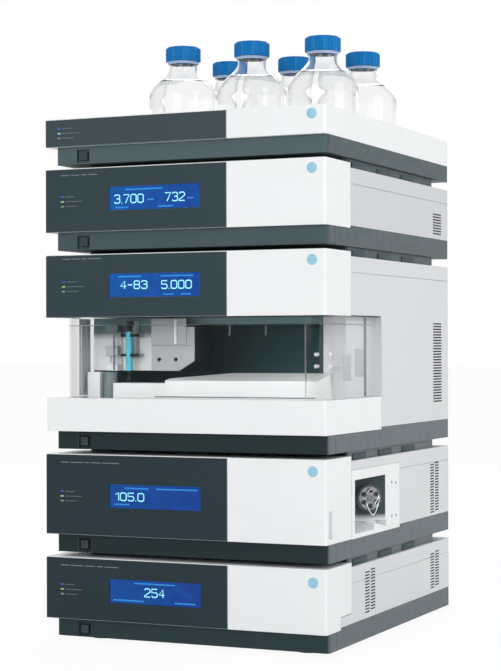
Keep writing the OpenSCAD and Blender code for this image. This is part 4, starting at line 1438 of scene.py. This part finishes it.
@dataclass
class Bottle:
    """One filled solvent bottle: blown glass with a moulded thread.

    Glass and solvent bend light alike, so below the solvent's level they are one clear body.

    Attributes:
        letter: Letter of the bottle.
        level: Height of the solvent above the bottle's foot.
        wall: Wall of the glass.
        body_height: Height of the bottle's straight body.
        shoulder_height: Height of its shoulder.
        shoulder_power: Power that draws the shoulder's swell upwards.
        neck_radius: Outer radius of its neck.
        thread_turns: Turns of the thread.
        thread_foot: Height of the thread's start.
        thread_pitch: Rise of the thread in one turn.
        thread_radius: Radius of the thread's bead.
        thread_sink: How far its middle lies below the neck's surface.
        thread_fade: How much deeper it starts and ends.
        foot_corner: Radius of the foot's corner.
        sides: Steps round the bottle.
    """

    letter: str
    level: float = 108.5
    wall: float = 1.6
    body_height: float = 86.5
    shoulder_height: float = 46.0
    shoulder_power: float = 1.15
    neck_radius: float = 20.5
    thread_turns: float = 2.2
    thread_foot: float = 143.0
    thread_pitch: float = 5.2
    thread_radius: float = 1.0
    thread_sink: float = 0.35
    thread_fade: float = 0.6
    foot_corner: float = 5.0
    sides: int = 96

    def build(self) -> None:
        """Makes the filled bottle in the place of its plain solid."""
        node = "solvent_bottle_" + self.letter
        low, high = node_box(node)
        self.outer = (high.x - low.x) / 2
        self.height = high.z - low.z
        self.centre = ((low.x + high.x) / 2, (low.y + high.y) / 2, low.z)
        glass = Body()
        glass.turned([*self.outside(), *self.lip(), *self.inside()], self.centre, UP, self.sides)
        glass.take(BEADS.along(self.thread(), self.thread_radius, Finish.BOTTLE))
        made = glass.piece(f"bottle_{self.letter}_filled", "stack", "bottle_glass", Finish.BOTTLE)
        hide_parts(node)

    def radius(self, height: float) -> float:
        """Gives the outer radius.

        Args:
            height: Height above the foot.

        Returns:
            The radius at that height.
        """
        share = min(max((height - self.body_height) / self.shoulder_height, 0), 1)
        swell = (1 + math.cos(math.pi * share ** self.shoulder_power)) / 2
        return self.neck_radius + (self.outer - self.neck_radius) * swell

    def outside(self) -> list[Pair]:
        """Gives the outer profile.

        Returns:
            Radii and heights, from the foot's middle to the neck.
        """
        corner, outer, steps = self.foot_corner, self.outer, 28
        foot = [(0, 1.6), (outer - 16, 1.2), (outer - 9, 0), (outer - corner, 0)]
        foot += [(outer - corner + corner * math.sin(angle), corner - corner * math.cos(angle))
                 for angle in arc(15, 90, 15)]
        heights = [self.body_height + self.shoulder_height * step / steps for step in range(steps + 1)]
        shoulder = [(self.radius(height), height) for height in heights]
        return [*foot, (outer, self.body_height / 2), *shoulder]

    def lip(self) -> list[Pair]:
        """Gives the profile of the rounded rim.

        Returns:
            Radii and heights, from the outside to the inside.
        """
        rim, radius = self.height, self.neck_radius
        return [(radius, rim - 1.5), (radius - 0.5, rim - 0.3), (radius - 1.2, rim),
                (radius - 2, rim - 0.2), (radius - self.wall, rim - 1)]

    def inside(self) -> list[Pair]:
        """Gives the inner profile, which ends in the solvent's curved edge and its level.

        Returns:
            Radii and heights, from the neck down to the level's middle.
        """
        steps = 12
        top = self.body_height + self.shoulder_height
        heights = [top + (self.level - top) * step / steps for step in range(steps + 1)]
        profile = [(self.radius(height + 1) - self.wall, height) for height in heights]
        rim = profile.pop()[0]
        edge = [(rim - inwards, self.level + up) for inwards, up in SOLVENT_EDGE]
        return [*profile, *edge, (0, self.level)]

    def thread(self) -> list[Point]:
        """Gives the path of the thread's ridge, which fades at both ends.

        Returns:
            Points of the path.
        """
        steps, run_out = 24, 4
        last = int(self.thread_turns * steps)
        x, y, foot = self.centre
        path = []
        for step in range(last + 1):
            angle = 2 * math.pi * step / steps
            sink = 1 - min(1, step / run_out, (last - step) / run_out)
            ring = self.neck_radius - self.thread_sink - self.thread_fade * sink
            path.append((x + ring * math.cos(angle), y + ring * math.sin(angle),
                         foot + self.thread_foot + self.thread_pitch * step / steps))
        return path


# ---- covers, bases and rear -------------------------------------------------


@dataclass(frozen=True)
class VentBlock:
    """Dark sheets at the floor of a block of vent slots, the same on both sides: painted shade that stands
    for the dark inside behind the slots.

    Attributes:
        module: The module's name.
        name: Place of the block.
        front: y of the block's front end.
        low: z of the lowest slot.
        rows: Number of slots above each other.
        columns: Number of columns, 1 or 2.
        pitch: Distance from one slot to the next.
        tall: Height of a slot.
        sink: Depth of the shade sheets' middle below the module's side.
        width: Width of the whole block.
        bridge: Gap between two columns.
        sheet: Thickness of a shade sheet.
        play: How much shorter and lower than its slot a shade sheet is.
    """

    module: str
    name: str
    front: float
    low: float
    rows: int
    columns: int
    pitch: float = 4.2
    tall: float = 2.0
    sink: float = 0.8
    width: float = 40.0
    bridge: float = 4.0
    sheet: float = 0.6
    play: Pair = (0.1, 0.05)

    def build(self) -> None:
        """Makes the dark shade sheets of both sides."""
        low, high = node_box(self.module + "_base")
        wide = (self.width - self.bridge * (self.columns - 1)) / self.columns
        size = (self.sheet, wide - self.play[0], self.tall - self.play[1])
        slot_shade = Body()
        for x in (high.x - self.sink, low.x + self.sink):
            for column in range(self.columns):
                y = self.front + column * (wide + self.bridge) + wide / 2
                z = self.low + self.tall / 2 + column * self.pitch / 2
                slot_shade.take(BARS.row(self.rows, (x, y, z), (0, 0, self.pitch), size, Finish.SLOT))
        slot_shade.piece(f"{self.module}_louvres_{self.name}", "stack", "dark_base", Finish.SLOT)


VENT_BLOCKS = (
    VentBlock("pump", "rear", 180, 577.2, 8, 1),
    VentBlock("sampler", "rear", 180, 322.4, 29, 1),
    VentBlock("oven", "rear", 164, 155.6, 18, 2),
    VentBlock("detector", "rear", 164, 41.8, 13, 2),
    VentBlock("detector", "front", -114, 41.8, 14, 2),
)


@dataclass
class RearPanel:
    """Rear of a module: screws, fan backing, socket contacts and black linings.

    Attributes:
        module: The module's name.
        inlet: Width, depth and height of the mains inlet's recess.
        inlet_x: Distance of its left end from the module's right side.
        socket: Width, depth and height of a signal socket's recess.
        sockets_x: Distances of the sockets' left ends from the right side.
        overlap: How far the base reaches up behind the housing.
        rise: Height of the fan and the connectors above the housing's foot.
        screw_radius: Radius of the screws.
        screw_margin: Distance of the screws from the sides.
        screw_rise: Height of the lower screws above the housing's foot.
        screw_drops: Depth of the upper screws below the top, on a low and on a tall module.
        tall_from: Height from which a module is tall.
        fan_x: Distance of the fan's middle from the left side.
        fan_radius: Radius of the fan.
        fan_pitch: Distance from one slot of the fan to the next.
        fan_slots: Number of the slots.
        fan_slot: Left and right end of a slot's backing.
        fan_share: Share of the fan's circle that the slots fill.
        fan_depth: Depths of the backing's two faces.
        contact_pitch: Distance from one contact to the next.
        contact_rows: Height and number of contacts of a socket's two rows.
        contact_size: Size of a contact.
        plate: Thickness of the linings' floors.
        wall: Thickness of the inlet's lining.
        lip: How far that stands out.
    """

    module: str
    inlet: Point = (27.0, 8.0, 20.0)
    inlet_x: float = 70.0
    socket: Point = (22.0, 1.5, 12.0)
    sockets_x: Pair = (150.0, 194.0)
    overlap: float = 4.0
    rise: float = 34.0
    screw_radius: float = 3.2
    screw_margin: float = 14.0
    screw_rise: float = 12.0
    screw_drops: Pair = (32.0, 36.0)
    tall_from: float = 150.0
    fan_x: float = 60.0
    fan_radius: float = 28.0
    fan_pitch: float = 6.0
    fan_slots: int = 9
    fan_slot: Pair = (0.1, 2.9)
    fan_share: float = 0.8
    fan_depth: Pair = (2.05, 1.6)
    contact_pitch: float = 2.4
    contact_rows: tuple[tuple[float, int], ...] = ((2.4, 7), (-2.4, 6))
    contact_size: Point = (0.9, 1.2, 0.9)
    plate: float = 0.4
    wall: float = 1.0
    lip: float = 0.2

    def build(self) -> None:
        """Makes the rear's pieces."""
        self.low, base_high = node_box(self.module + "_base")
        self.high = node_box(self.module + "_housing")[1]
        self.low.z = base_high.z - self.overlap
        self.middle = self.low.z + self.rise
        self.build_screws()
        self.build_fan()
        self.build_contacts()
        self.build_linings()

    def build_screws(self) -> None:
        """Makes the four screws of the rear wall."""
        low, high = self.low, self.high
        drop = self.screw_drops[1] if high.z - low.z > self.tall_from else self.screw_drops[0]
        places = [(x, high.y - 0.05, z) for x in (low.x + self.screw_margin, high.x - self.screw_margin)
                  for z in (low.z + self.screw_rise, high.z - drop)]
        screws = Body()
        screws.take(SCREWS.screws(places, self.screw_radius, (-math.pi / 2, 0, 0), Finish.SCREW))
        screws.piece(self.module + "_rear_screws", "stack", "steel", Finish.SCREW)

    def build_fan(self) -> None:
        """Makes the dark backing of the fan's slots."""
        inner, outer = (self.high.y - depth for depth in self.fan_depth)
        bars = []
        for step in range(-(self.fan_slots // 2), self.fan_slots // 2 + 1):
            chord = math.sqrt(self.fan_radius ** 2 - (step * self.fan_pitch) ** 2)
            half = chord * self.fan_share - self.fan_slot[0]
            left, right = (self.low.x + self.fan_x + step * self.fan_pitch + end for end in self.fan_slot)
            bars.append(((left, inner, self.middle - half), (right, outer, self.middle + half)))
        slab(self.module + "_fan_mesh", "stack", "dark_base", Finish.SLOT, bars)

    def build_contacts(self) -> None:
        """Makes the contacts of the signal sockets."""
        contacts = Body()
        for distance in self.sockets_x:
            centre = self.high.x - distance + self.socket[0] / 2
            for up, count in self.contact_rows:
                left = centre - (count - 1) * self.contact_pitch / 2
                contacts.take(BARS.row(count, (left, self.high.y - 1, self.middle + up),
                                       (self.contact_pitch, 0, 0), self.contact_size, Finish.STEEL))
        contacts.piece(self.module + "_socket_contacts", "stack", "steel", Finish.STEEL)

    def build_linings(self) -> None:
        """Makes the black linings of the inlet and the sockets."""
        wide, deep, tall = self.inlet
        left, foot, top = self.high.x - self.inlet_x, self.middle - tall / 2, self.middle + tall / 2
        inner, outer, wall = self.high.y - deep, self.high.y + self.lip, self.wall
        bars = [self.recess_floor(self.inlet_x, self.inlet)]
        bars += [((left, inner, z), (left + wide, outer, z + wall)) for z in (foot, top - wall)]
        bars += [((x, inner, foot + wall), (x + wall, outer, top - wall))
                 for x in (left, left + wide - wall)]
        bars += [self.recess_floor(distance, self.socket) for distance in self.sockets_x]
        slab(self.module + "_connector_linings", "stack", "knob_black", Finish.BLACK, bars)

    def recess_floor(self, distance: float, size: Point) -> Span:
        """Gives the thin plate on a recess's floor.

        Args:
            distance: Distance of the recess's left end from the right side.
            size: Width, depth and height of the recess.

        Returns:
            The plate's corners.
        """
        wide, deep, tall = size
        x, y = self.high.x - distance, self.high.y - deep
        return (x, y, self.middle - tall / 2), (x + wide, y + self.plate, self.middle + tall / 2)


@dataclass(frozen=True)
class GapPads:
    """Grey pads in the gap between two modules, on both sides of the plinth.

    Attributes:
        upper: The module above the gap.
        lower: The module below it.
        places: y of the pads' middles.
        length: Length of a pad.
        thickness: Thickness of a pad.
        inset: Distance of the pads' outer faces from the sides.
        span: Heights of a pad's foot and top above the lower module's lid.
    """

    upper: str
    lower: str
    places: tuple[float, ...] = (-120.0, -20.0, 80.0)
    length: float = 52.0
    thickness: float = 1.6
    inset: float = 6.0
    span: Pair = (0.3, 8.6)

    def build(self) -> None:
        """Makes the pads."""
        low, high = node_box(self.upper + "_base")
        lid = node_box(self.lower + "_housing")[1].z
        foot, top = (lid + height for height in self.span)
        right, left, half = high.x - self.inset, low.x + self.inset, self.length / 2
        bars = [((x, y - half, foot), (x + self.thickness, y + half, top))
                for y in self.places for x in (right, left - self.thickness)]
        slab(self.upper + "_gap_pads", "stack", "dark_base", Finish.PAD, bars, 0.5)


# ---- autosampler and valve --------------------------------------------------


@dataclass(frozen=True)
class SamplerInterior:
    """Small parts inside the autosampler's window.

    Attributes:
        hook_x: x of the two hooks under the chamber's header.
        hook_z: z of their foot and their top.
        hook_half: Half their thickness.
        screw_places: x and z of the valve cover's two recessed screws, from its lower left corner.
        screw_depth: Depth of the recesses' floor.
        screw_radius: Radius of the screws.
        seam_z: z of the joint between the valve cover's two parts.
        ridge_x: x of the upright ridge on the cover's upper part.
        peg_z: z of the pegs on the chamber's right.
        peg_profile: Radii and heights of a peg on the chamber's wall.
        peg_places: x of the feet of the pegs on the wall and on the jamb.
        peg_share: Share of the full height of the pegs on the jamb.
        rail_x: x of the needle unit's dark guide rail.
        strip_z: z of the chamber's left edge, and of the rail's top.
        jamb_x: x of the plates and the channel at the jamb.
        plates: y and z ranges of the plates on the jamb's outer side.
        channel_y: y of the channel in which the window runs.
        channel_z: z of its ends.
        guide: Corners of the plate at the chamber's left.
        guide_edge: Corners of that plate's inner edge.
        deck_shadow_x: x of the left end of the dark strip painted as the shadow at the foot of the deck's
            front.
        deck_shadow_z: z of that strip.
    """

    hook_x: Pair = (23.8, 78.6)
    hook_z: Pair = (423.0, 441.0)
    hook_half: float = 1.2
    screw_places: tuple[Pair, ...] = ((12, 16), (38, 16))
    screw_depth: float = 1.45
    screw_radius: float = 2.6
    seam_z: float = 410.0
    ridge_x: Pair = (-50.8, -46.8)
    peg_z: Pair = (396.6, 380.2)
    peg_profile: tuple[Pair, ...] = (
        (0, -0.3), (2.4, -0.3), (2.4, 5.5), (3.0, 6), (3.0, 8), (2.3, 9), (0, 9.2))
    peg_places: Pair = (158.2, 181.0)
    peg_share: float = 0.35
    rail_x: Pair = (-149.5, -146.5)
    strip_z: Pair = (374.0, 436.0)
    jamb_x: Pair = (195.9, 197.0)
    plates: tuple[tuple[float, float, float, float], ...] = (
        (-116, -84, 366, 404), (-160, -133, 361, 396))
    channel_y: Pair = (-82.0, -74.0)
    channel_z: Pair = (338.0, 447.0)
    guide: Span = ((-194.3, -190, 338.5), (-193.3, -158, 447.5))
    guide_edge: Span = ((-193.4, -169, 338.5), (-192.5, -163, 447.5))
    deck_shadow_x: float = -66.0
    deck_shadow_z: Pair = (337.6, 339.0)

    def build(self) -> None:
        """Makes the interior's pieces."""
        self.build_hooks()
        self.build_cover()
        self.build_pegs()
        self.build_jamb()
        self.build_edges()

    def build_hooks(self) -> None:
        """Makes the two hooks under the header."""
        front = node_box("chamber_liner")[0].y
        half, (foot, top) = self.hook_half, self.hook_z
        bars = []
        for x in self.hook_x:
            bars.append(((x - half, front - half, foot), (x + half, front + 0.1, top)))
            bars.append(((x - half, front - half - 2, foot), (x + half, front - 1, foot + 2)))
        slab("chamber_hooks", "stack", "unit_grey", Finish.TRIM, bars, 0.3)

    def build_cover(self) -> None:
        """Makes the valve cover's upper part, its ridge and its screws."""
        low, high = node_box("valve_cover")
        front, seam = low.y, self.seam_z
        left, right = self.ridge_x
        screws = Body()
        seats = [(low.x + x, front + self.screw_depth, low.z + z) for x, z in self.screw_places]
        screws.take(SCREWS.screws(seats, self.screw_radius, (math.pi / 2, 0, 0), Finish.BLACK))
        screws.piece("valve_cover_screws", "stack", "knob_black", Finish.BLACK)
        slab("valve_cover_upper_part", "stack", "unit_grey", Finish.GUIDE,
             [((low.x + 0.3, front - 1.2, seam), (high.x - 12, front + 0.2, high.z - 0.3))], 0.5)
        slab("valve_cover_ridge", "stack", "deck_white", Finish.PEG,
             [((left, front - 3.4, seam + 1), (right, front - 1.1, high.z - 1))], 0.8)

    def build_pegs(self) -> None:
        """Makes the round pegs on the chamber's right wall and on the jamb."""
        wall_y = node_box("chamber_liner")[0].y + 5
        jamb_y = node_box("sampler_housing")[0].y
        wall_x, jamb_x = self.peg_places
        short = [(radius, height * self.peg_share) for radius, height in self.peg_profile]
        pegs = Body()
        for z in self.peg_z:
            pegs.turned(self.peg_profile, (wall_x, wall_y, z), (-1, 0, 0), PEG_SIDES)
            pegs.turned(short, (jamb_x, jamb_y, z), (0, -1, 0), PEG_SIDES)
        pegs.piece("chamber_pegs", "stack", "deck_white", Finish.PEG)

    def build_jamb(self) -> None:
        """Makes the slim plates and the window's guides at the chamber's two sides."""
        inner, outer = self.jamb_x
        front, rear = self.channel_y
        foot, top = self.channel_z
        plates = [((inner, y, z), (outer, y_end, z_end)) for y, y_end, z, z_end in self.plates]
        slab("jamb_plates", "stack", "unit_grey", Finish.PLATE, plates, 0.4)
        slab("left_guide_plate", "stack", "unit_grey", Finish.PLATE, [self.guide], 0.3)
        slab("left_guide_edge", "stack", "unit_grey", Finish.GUIDE, [self.guide_edge], 0.3)
        slab("window_channel", "stack", "unit_grey", Finish.TRIM,
             [((inner, front, foot), (outer, rear, top))], 0.3)

    def build_edges(self) -> None:
        """Makes the chamber's light left edge, the needle unit's rail and a dark strip painted as the shadow
        at the foot of the deck's front.
        """
        liner, unit = (node_box(name)[0] for name in ("chamber_liner", "needle_panel"))
        deck_low, deck_high = node_box("sample_deck")
        foot, top = self.strip_z
        slab("chamber_left_edge", "stack", "deck_white", Finish.NEEDLE_UNIT,
             [((liner.x - 0.2, liner.y - 0.9, foot), (liner.x + 6.2, liner.y + 0.2, top))], 0.3)
        slab("needle_rail", "stack", "knob_black", Finish.TRIM,
             [((self.rail_x[0], unit.y - 0.5, unit.z + 1), (self.rail_x[1], unit.y + 0.4, top))], 0.3)
        # A dark strip painted as the shadow at the foot of the deck's front.
        foot, top = self.deck_shadow_z
        slab("deck_front_seam", "stack", "knob_black", Finish.TRIM,
             [((self.deck_shadow_x, deck_low.y - 0.4, foot), (deck_high.x - 4, deck_low.y + 0.3, top))], 0.2)


@dataclass(frozen=True)
class WindowBead:
    """Fine polished ribs of the window, which move with it. The upright ribs beside its bends are frosted
    grey beads that paint the highlight line where the pane bends.

    Attributes:
        drop: Distance of the level rib below the window's top.
        radius: Radius of the ribs.
        corner: Radius of the window's bent corners.
        steps: Steps of the level rib round a corner.
        inset: How far the level rib's middle lies inside the window's outer face.
        wall: Distance of the upright ribs' middle from that face, less the inset.
        upright_radius: Radius of the upright ribs.
        upright_rise: Height of their foot above the window's.
    """

    drop: float = 14.0
    radius: float = 0.45
    corner: float = 30.0
    steps: int = 10
    inset: float = 0.1
    wall: float = 2.6
    upright_radius: float = 1.17
    upright_rise: float = 12.0

    def build(self) -> None:
        """Makes the ribs round the window's three sides and beside its bends."""
        low, high = node_box("sampler_window")
        left, right, front = low.x + self.inset, high.x - self.inset, low.y + self.inset
        centre_y, rear, z = front + self.corner, high.y - 1, high.z - self.drop
        bends = (left + self.corner, right - self.corner)
        path = [(left, rear, z)]
        for centre_x, start in zip(bends, (math.pi, 1.5 * math.pi)):
            for step in range(self.steps + 1):
                angle = start + math.pi / 2 * step / self.steps
                x, y = self.corner * math.cos(angle), self.corner * math.sin(angle)
                path.append((centre_x + x, centre_y + y, z))
        path.append((right, rear, z))
        ribs = Body()
        ribs.take(BEADS.along(path, self.radius, Finish.RIB))
        # The upright ribs are a painted highlight line at the window's bends.
        for x in bends:
            upright = [(x, front + self.wall, low.z + self.upright_rise), (x, front + self.wall, z)]
            ribs.take(BEADS.along(upright, self.upright_radius, Finish.RIB))
        ribs.piece("window_ribs", "sampler_window", "clear_window", Finish.RIB)


@dataclass(frozen=True)
class ValveDressing:
    """Screws on the valve's bezel and the steel capillaries between its ports.

    Attributes:
        screw_places: y and z of the bezel's screws.
        screw_radius: Radius of these screws.
        turn: Degrees by which the valve's face looks to the front.
        centre: Middle of the valve's seat.
        port_radius: Radius of the circle of the ports.
        port_end: Distance of the fittings' ends from the seat.
        port_angles: Degrees from one port to the next, and of the first.
        tube_radius: Radius of a capillary.
        links: Ports joined by a capillary, with how far it bows out and down.
        steps: Steps along a capillary.
    """

    screw_places: tuple[Pair, ...] = ((-7.5, 214.0), (9.6, 212.3), (-7.5, 166.0), (9.6, 166.0))
    screw_radius: float = 2.0
    turn: float = 45.0
    centre: Point = (190.1, -49.9, 194.6)
    port_radius: float = 11.02
    port_end: float = 13.6
    port_angles: Pair = (60.0, 30.0)
    tube_radius: float = 0.8
    links: tuple[tuple[int, int, float, float], ...] = (
        (3, 5, 3.5, 17), (0, 4, 4.5, 1), (1, 2, 4, -5), (0, 5, 3, 3))
    steps: int = 24

    def build(self) -> None:
        """Makes the screws and the capillaries."""
        seat = node_box("valve_bezel")[1].x - 0.05
        places = [(seat, y, z) for y, z in self.screw_places]
        screws = Body()
        screws.take(SCREWS.screws(places, self.screw_radius, (0, math.pi / 2, 0), Finish.SCREW))
        screws.piece("valve_bezel_screws", "stack", "steel", Finish.SCREW)
        tubes = Body()
        for link in self.links:
            tubes.take(BEADS.along(self.route(*link), self.tube_radius, Finish.TUBE))
        tubes.piece("valve_capillaries", "stack", "steel", Finish.TUBE)

    def outwards(self) -> Vector:
        """Gives the direction in which the valve's face looks."""
        turn = math.radians(self.turn)
        return Vector((math.cos(turn), -math.sin(turn), 0))

    def port(self, number: int) -> Vector:
        """Gives the end of a port's fitting.

        Args:
            number: The port's number, from 0.

        Returns:
            The point.
        """
        pitch, first = self.port_angles
        angle = math.radians(pitch * number + first)
        out, up = self.outwards(), Vector(UP)
        ring = up.cross(out) * math.cos(angle) + up * math.sin(angle)
        return Vector(self.centre) + out * self.port_end + ring * self.port_radius

    def route(self, first: int, last: int, bow: float, drop: float) -> list[Point]:
        """Gives a capillary's path from one port to another.

        Args:
            first: The first port.
            last: The last port.
            bow: How far it bows out from the valve's face.
            drop: How far it hangs below the straight line.

        Returns:
            Points of the path.
        """
        out = self.outwards()
        start, end = self.port(first), self.port(last)
        points = []
        for step in range(self.steps + 1):
            share = step / self.steps
            bend = math.sin(math.pi * share)
            place = start.lerp(end, share) + out * bow * bend ** 0.5 + Vector((0, 0, -drop)) * bend
            points.append(tuple(place))
        return points


@dataclass(frozen=True)
class SlotLining:
    """Grey lining at the rear edge of the oven door's capillary slot.

    Attributes:
        span: y of the lining's two edges, from the door's front.
        rise: z of its two ends, from the door's foot.
        depth: x of its two faces, from the door's side.
    """

    span: Pair = (11.5, 19.8)
    rise: Pair = (7.8, 43.2)
    depth: Pair = (0.4, 2.0)

    def build(self) -> None:
        """Makes the lining."""
        low, high = node_box("oven_door")
        outer, inner = (high.x - depth for depth in self.depth)
        front, rear = (low.y + distance for distance in self.span)
        foot, top = (low.z + height for height in self.rise)
        slab("oven_door_slot_lining", "oven_door", "unit_grey", Finish.UNIT,
             [((inner, front, foot), (outer, rear, top))], 0.3)


# ---- studio -----------------------------------------------------------------


@dataclass(frozen=True)
class Lamp:
    """Soft rectangular lamp aimed at the stack.

    Attributes:
        name: The lamp's name.
        azimuth: Degrees to the right of the stack's front.
        elevation: Degrees above the floor.
        distance: Metres from the stack's middle.
        size: Metres along each side.
        power: Watts.
    """

    name: str
    azimuth: float
    elevation: float
    distance: float
    size: float
    power: float

    def build(self, target: Vector) -> None:
        """Makes the lamp.

        Args:
            target: Point that it is aimed at.
        """
        turn, rise = math.radians(self.azimuth), math.radians(self.elevation)
        away = Vector((math.sin(turn) * math.cos(rise), -math.cos(turn) * math.cos(rise), math.sin(rise)))
        data = bpy.data.lights.new(self.name, "AREA")
        data.shape = "SQUARE"
        data.size = self.size
        data.energy = self.power
        lamp = bpy.data.objects.new(self.name, data)
        lamp.location = target + away * self.distance
        lamp.rotation_euler = away.to_track_quat("Z", "Y").to_euler()
        bpy.context.scene.collection.objects.link(lamp)


@dataclass(frozen=True)
class Studio:
    """Camera, lamps, world and floor.

    Attributes:
        camera_place: Place of the camera.
        azimuth: Degrees of the camera to the right of the stack's front.
        tilt: Degrees by which it looks up.
        roll: Degrees by which it leans.
        focal_pixels: Focal length in pixels of the image.
        sensor: Sensor width, along the image's longer side.
        world_strength: Light from the surroundings.
        floor_glow: Share of the floor's plain white that rays see.
        floor_half: Metres from the floor's middle to its edges.
        floor_colour: Colour of the floor under the lamps.
        lamps: The lamps.
    """

    camera_place: Point = (1105.4, -2479.4, 409.9)
    azimuth: float = 24.27
    tilt: float = 0.29
    roll: float = -0.17
    focal_pixels: float = 1842.6
    sensor: float = 36.0
    world_strength: float = 0.6
    floor_glow: float = 0.94
    floor_half: float = 30.0
    floor_colour: Colour = (0.9, 0.9, 0.9)
    lamps: tuple[Lamp, ...] = (
        Lamp("front_softbox", 2, 14, 3.2, 1.6, 23),
        Lamp("right_softbox", 78, 22, 3.2, 1.8, 28),
        Lamp("rear_softbox", 200, 35, 3.2, 1.8, 20),
    )

    def build(self) -> None:
        """Makes the studio."""
        self.build_camera()
        low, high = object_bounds()
        target = (Vector(low) + Vector(high)) / 2
        for lamp in self.lamps:
            lamp.build(target)
        self.build_world()
        self.build_floor()
        bpy.context.scene.view_settings.view_transform = "Standard"

    def build_camera(self) -> None:
        """Makes the camera from its place, direction and focal length."""
        turn, rise, lean = (math.radians(a) for a in (self.azimuth, self.tilt, self.roll))
        ahead = Vector((-math.sin(turn) * math.cos(rise), math.cos(turn) * math.cos(rise), math.sin(rise)))
        level = Vector((math.cos(turn), math.sin(turn), 0))
        upright = level.cross(ahead)
        right = level * math.cos(lean) + upright * math.sin(lean)
        up = -level * math.sin(lean) + upright * math.cos(lean)
        pose = Matrix((right, up, -ahead)).transposed().to_4x4()
        pose.translation = Vector(self.camera_place) * MM
        data = bpy.data.cameras.new("camera")
        data.sensor_width = self.sensor
        data.lens = self.focal_pixels / max(IMAGE_SIZE) * self.sensor
        camera = bpy.data.objects.new("camera", data)
        camera.matrix_world = pose
        bpy.context.scene.collection.objects.link(camera)
        bpy.context.scene.camera = camera

    def seen(self, tree: bpy.types.NodeTree) -> Socket:
        """Gives 1 for the rays that see the background, 0 for those that light the stack.

        Args:
            tree: Node tree to work in.

        Returns:
            The value.
        """
        path = tree.nodes.new("ShaderNodeLightPath")
        total = path.outputs["Is Camera Ray"]
        for key in ("Is Glossy Ray", "Is Transmission Ray"):
            either = tree.nodes.new("ShaderNodeMath")
            either.operation = "MAXIMUM"
            tree.links.new(total, either.inputs[0])
            tree.links.new(path.outputs[key], either.inputs[1])
            total = either.outputs[0]
        return total

    def build_world(self) -> None:
        """Makes the white surroundings."""
        world = bpy.data.worlds.new("studio")
        bpy.context.scene.world = world
        world.use_nodes = True
        tree = world.node_tree
        tree.nodes.clear()
        light = tree.nodes.new("ShaderNodeBackground")
        light.inputs["Strength"].default_value = self.world_strength
        white = tree.nodes.new("ShaderNodeBackground")
        mixed = tree.nodes.new("ShaderNodeMixShader")
        for background in (light, white):
            background.inputs["Color"].default_value = (1, 1, 1, 1)
        white.inputs["Strength"].default_value = 1.0
        tree.links.new(self.seen(tree), mixed.inputs["Fac"])
        tree.links.new(light.outputs[0], mixed.inputs[1])
        tree.links.new(white.outputs[0], mixed.inputs[2])
        output = tree.nodes.new("ShaderNodeOutputWorld")
        tree.links.new(mixed.outputs[0], output.inputs["Surface"])

    def build_floor(self) -> None:
        """Makes the pale floor, which keeps a soft shadow."""
        half = self.floor_half
        mesh = bpy.data.meshes.new("floor")
        corners = [(-half, -half, 0), (half, -half, 0), (half, half, 0), (-half, half, 0)]
        mesh.from_pydata(corners, [], [(0, 1, 2, 3)])
        tree = ShaderTree("floor_pale")
        tree.plain(Base_Color=self.floor_colour, Roughness=0.9)
        glow = tree.node("ShaderNodeEmission")
        glow.inputs["Strength"].default_value = 1.0
        share = tree.node("ShaderNodeMath", operation="MULTIPLY")
        share.inputs[1].default_value = self.floor_glow
        tree.link(self.seen(tree.tree), share.inputs[0])
        mixed = tree.node("ShaderNodeMixShader")
        tree.link(share.outputs[0], mixed.inputs["Fac"])
        tree.link(tree.shader.outputs["BSDF"], mixed.inputs[1])
        tree.link(glow.outputs[0], mixed.inputs[2])
        tree.link(mixed.outputs[0], tree.output.inputs["Surface"])
        mesh.materials.append(tree.material)
        floor = bpy.data.objects.new("floor", mesh)
        bpy.context.scene.collection.objects.link(floor)
        floor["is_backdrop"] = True


def main() -> None:
    """Builds the studio and dresses the stack."""
    logging.basicConfig(level=logging.INFO, format="%(name)s: %(message)s")
    Studio().build()
    dress_frame()
    modules = ("detector", "oven", "sampler", "pump", "rack")
    parts = [*FRONT_PANELS, *(Bottle(letter) for letter in "abcdef"), *VENT_BLOCKS]
    parts += [RearPanel(module) for module in modules if module != "rack"]
    parts += [GapPads(upper, lower) for lower, upper in zip(modules, modules[1:])]
    parts += [SamplerInterior(), WindowBead(), ValveDressing(), SlotLining()]
    for part in parts:
        part.build()


if __name__ == "__main__":
    main()
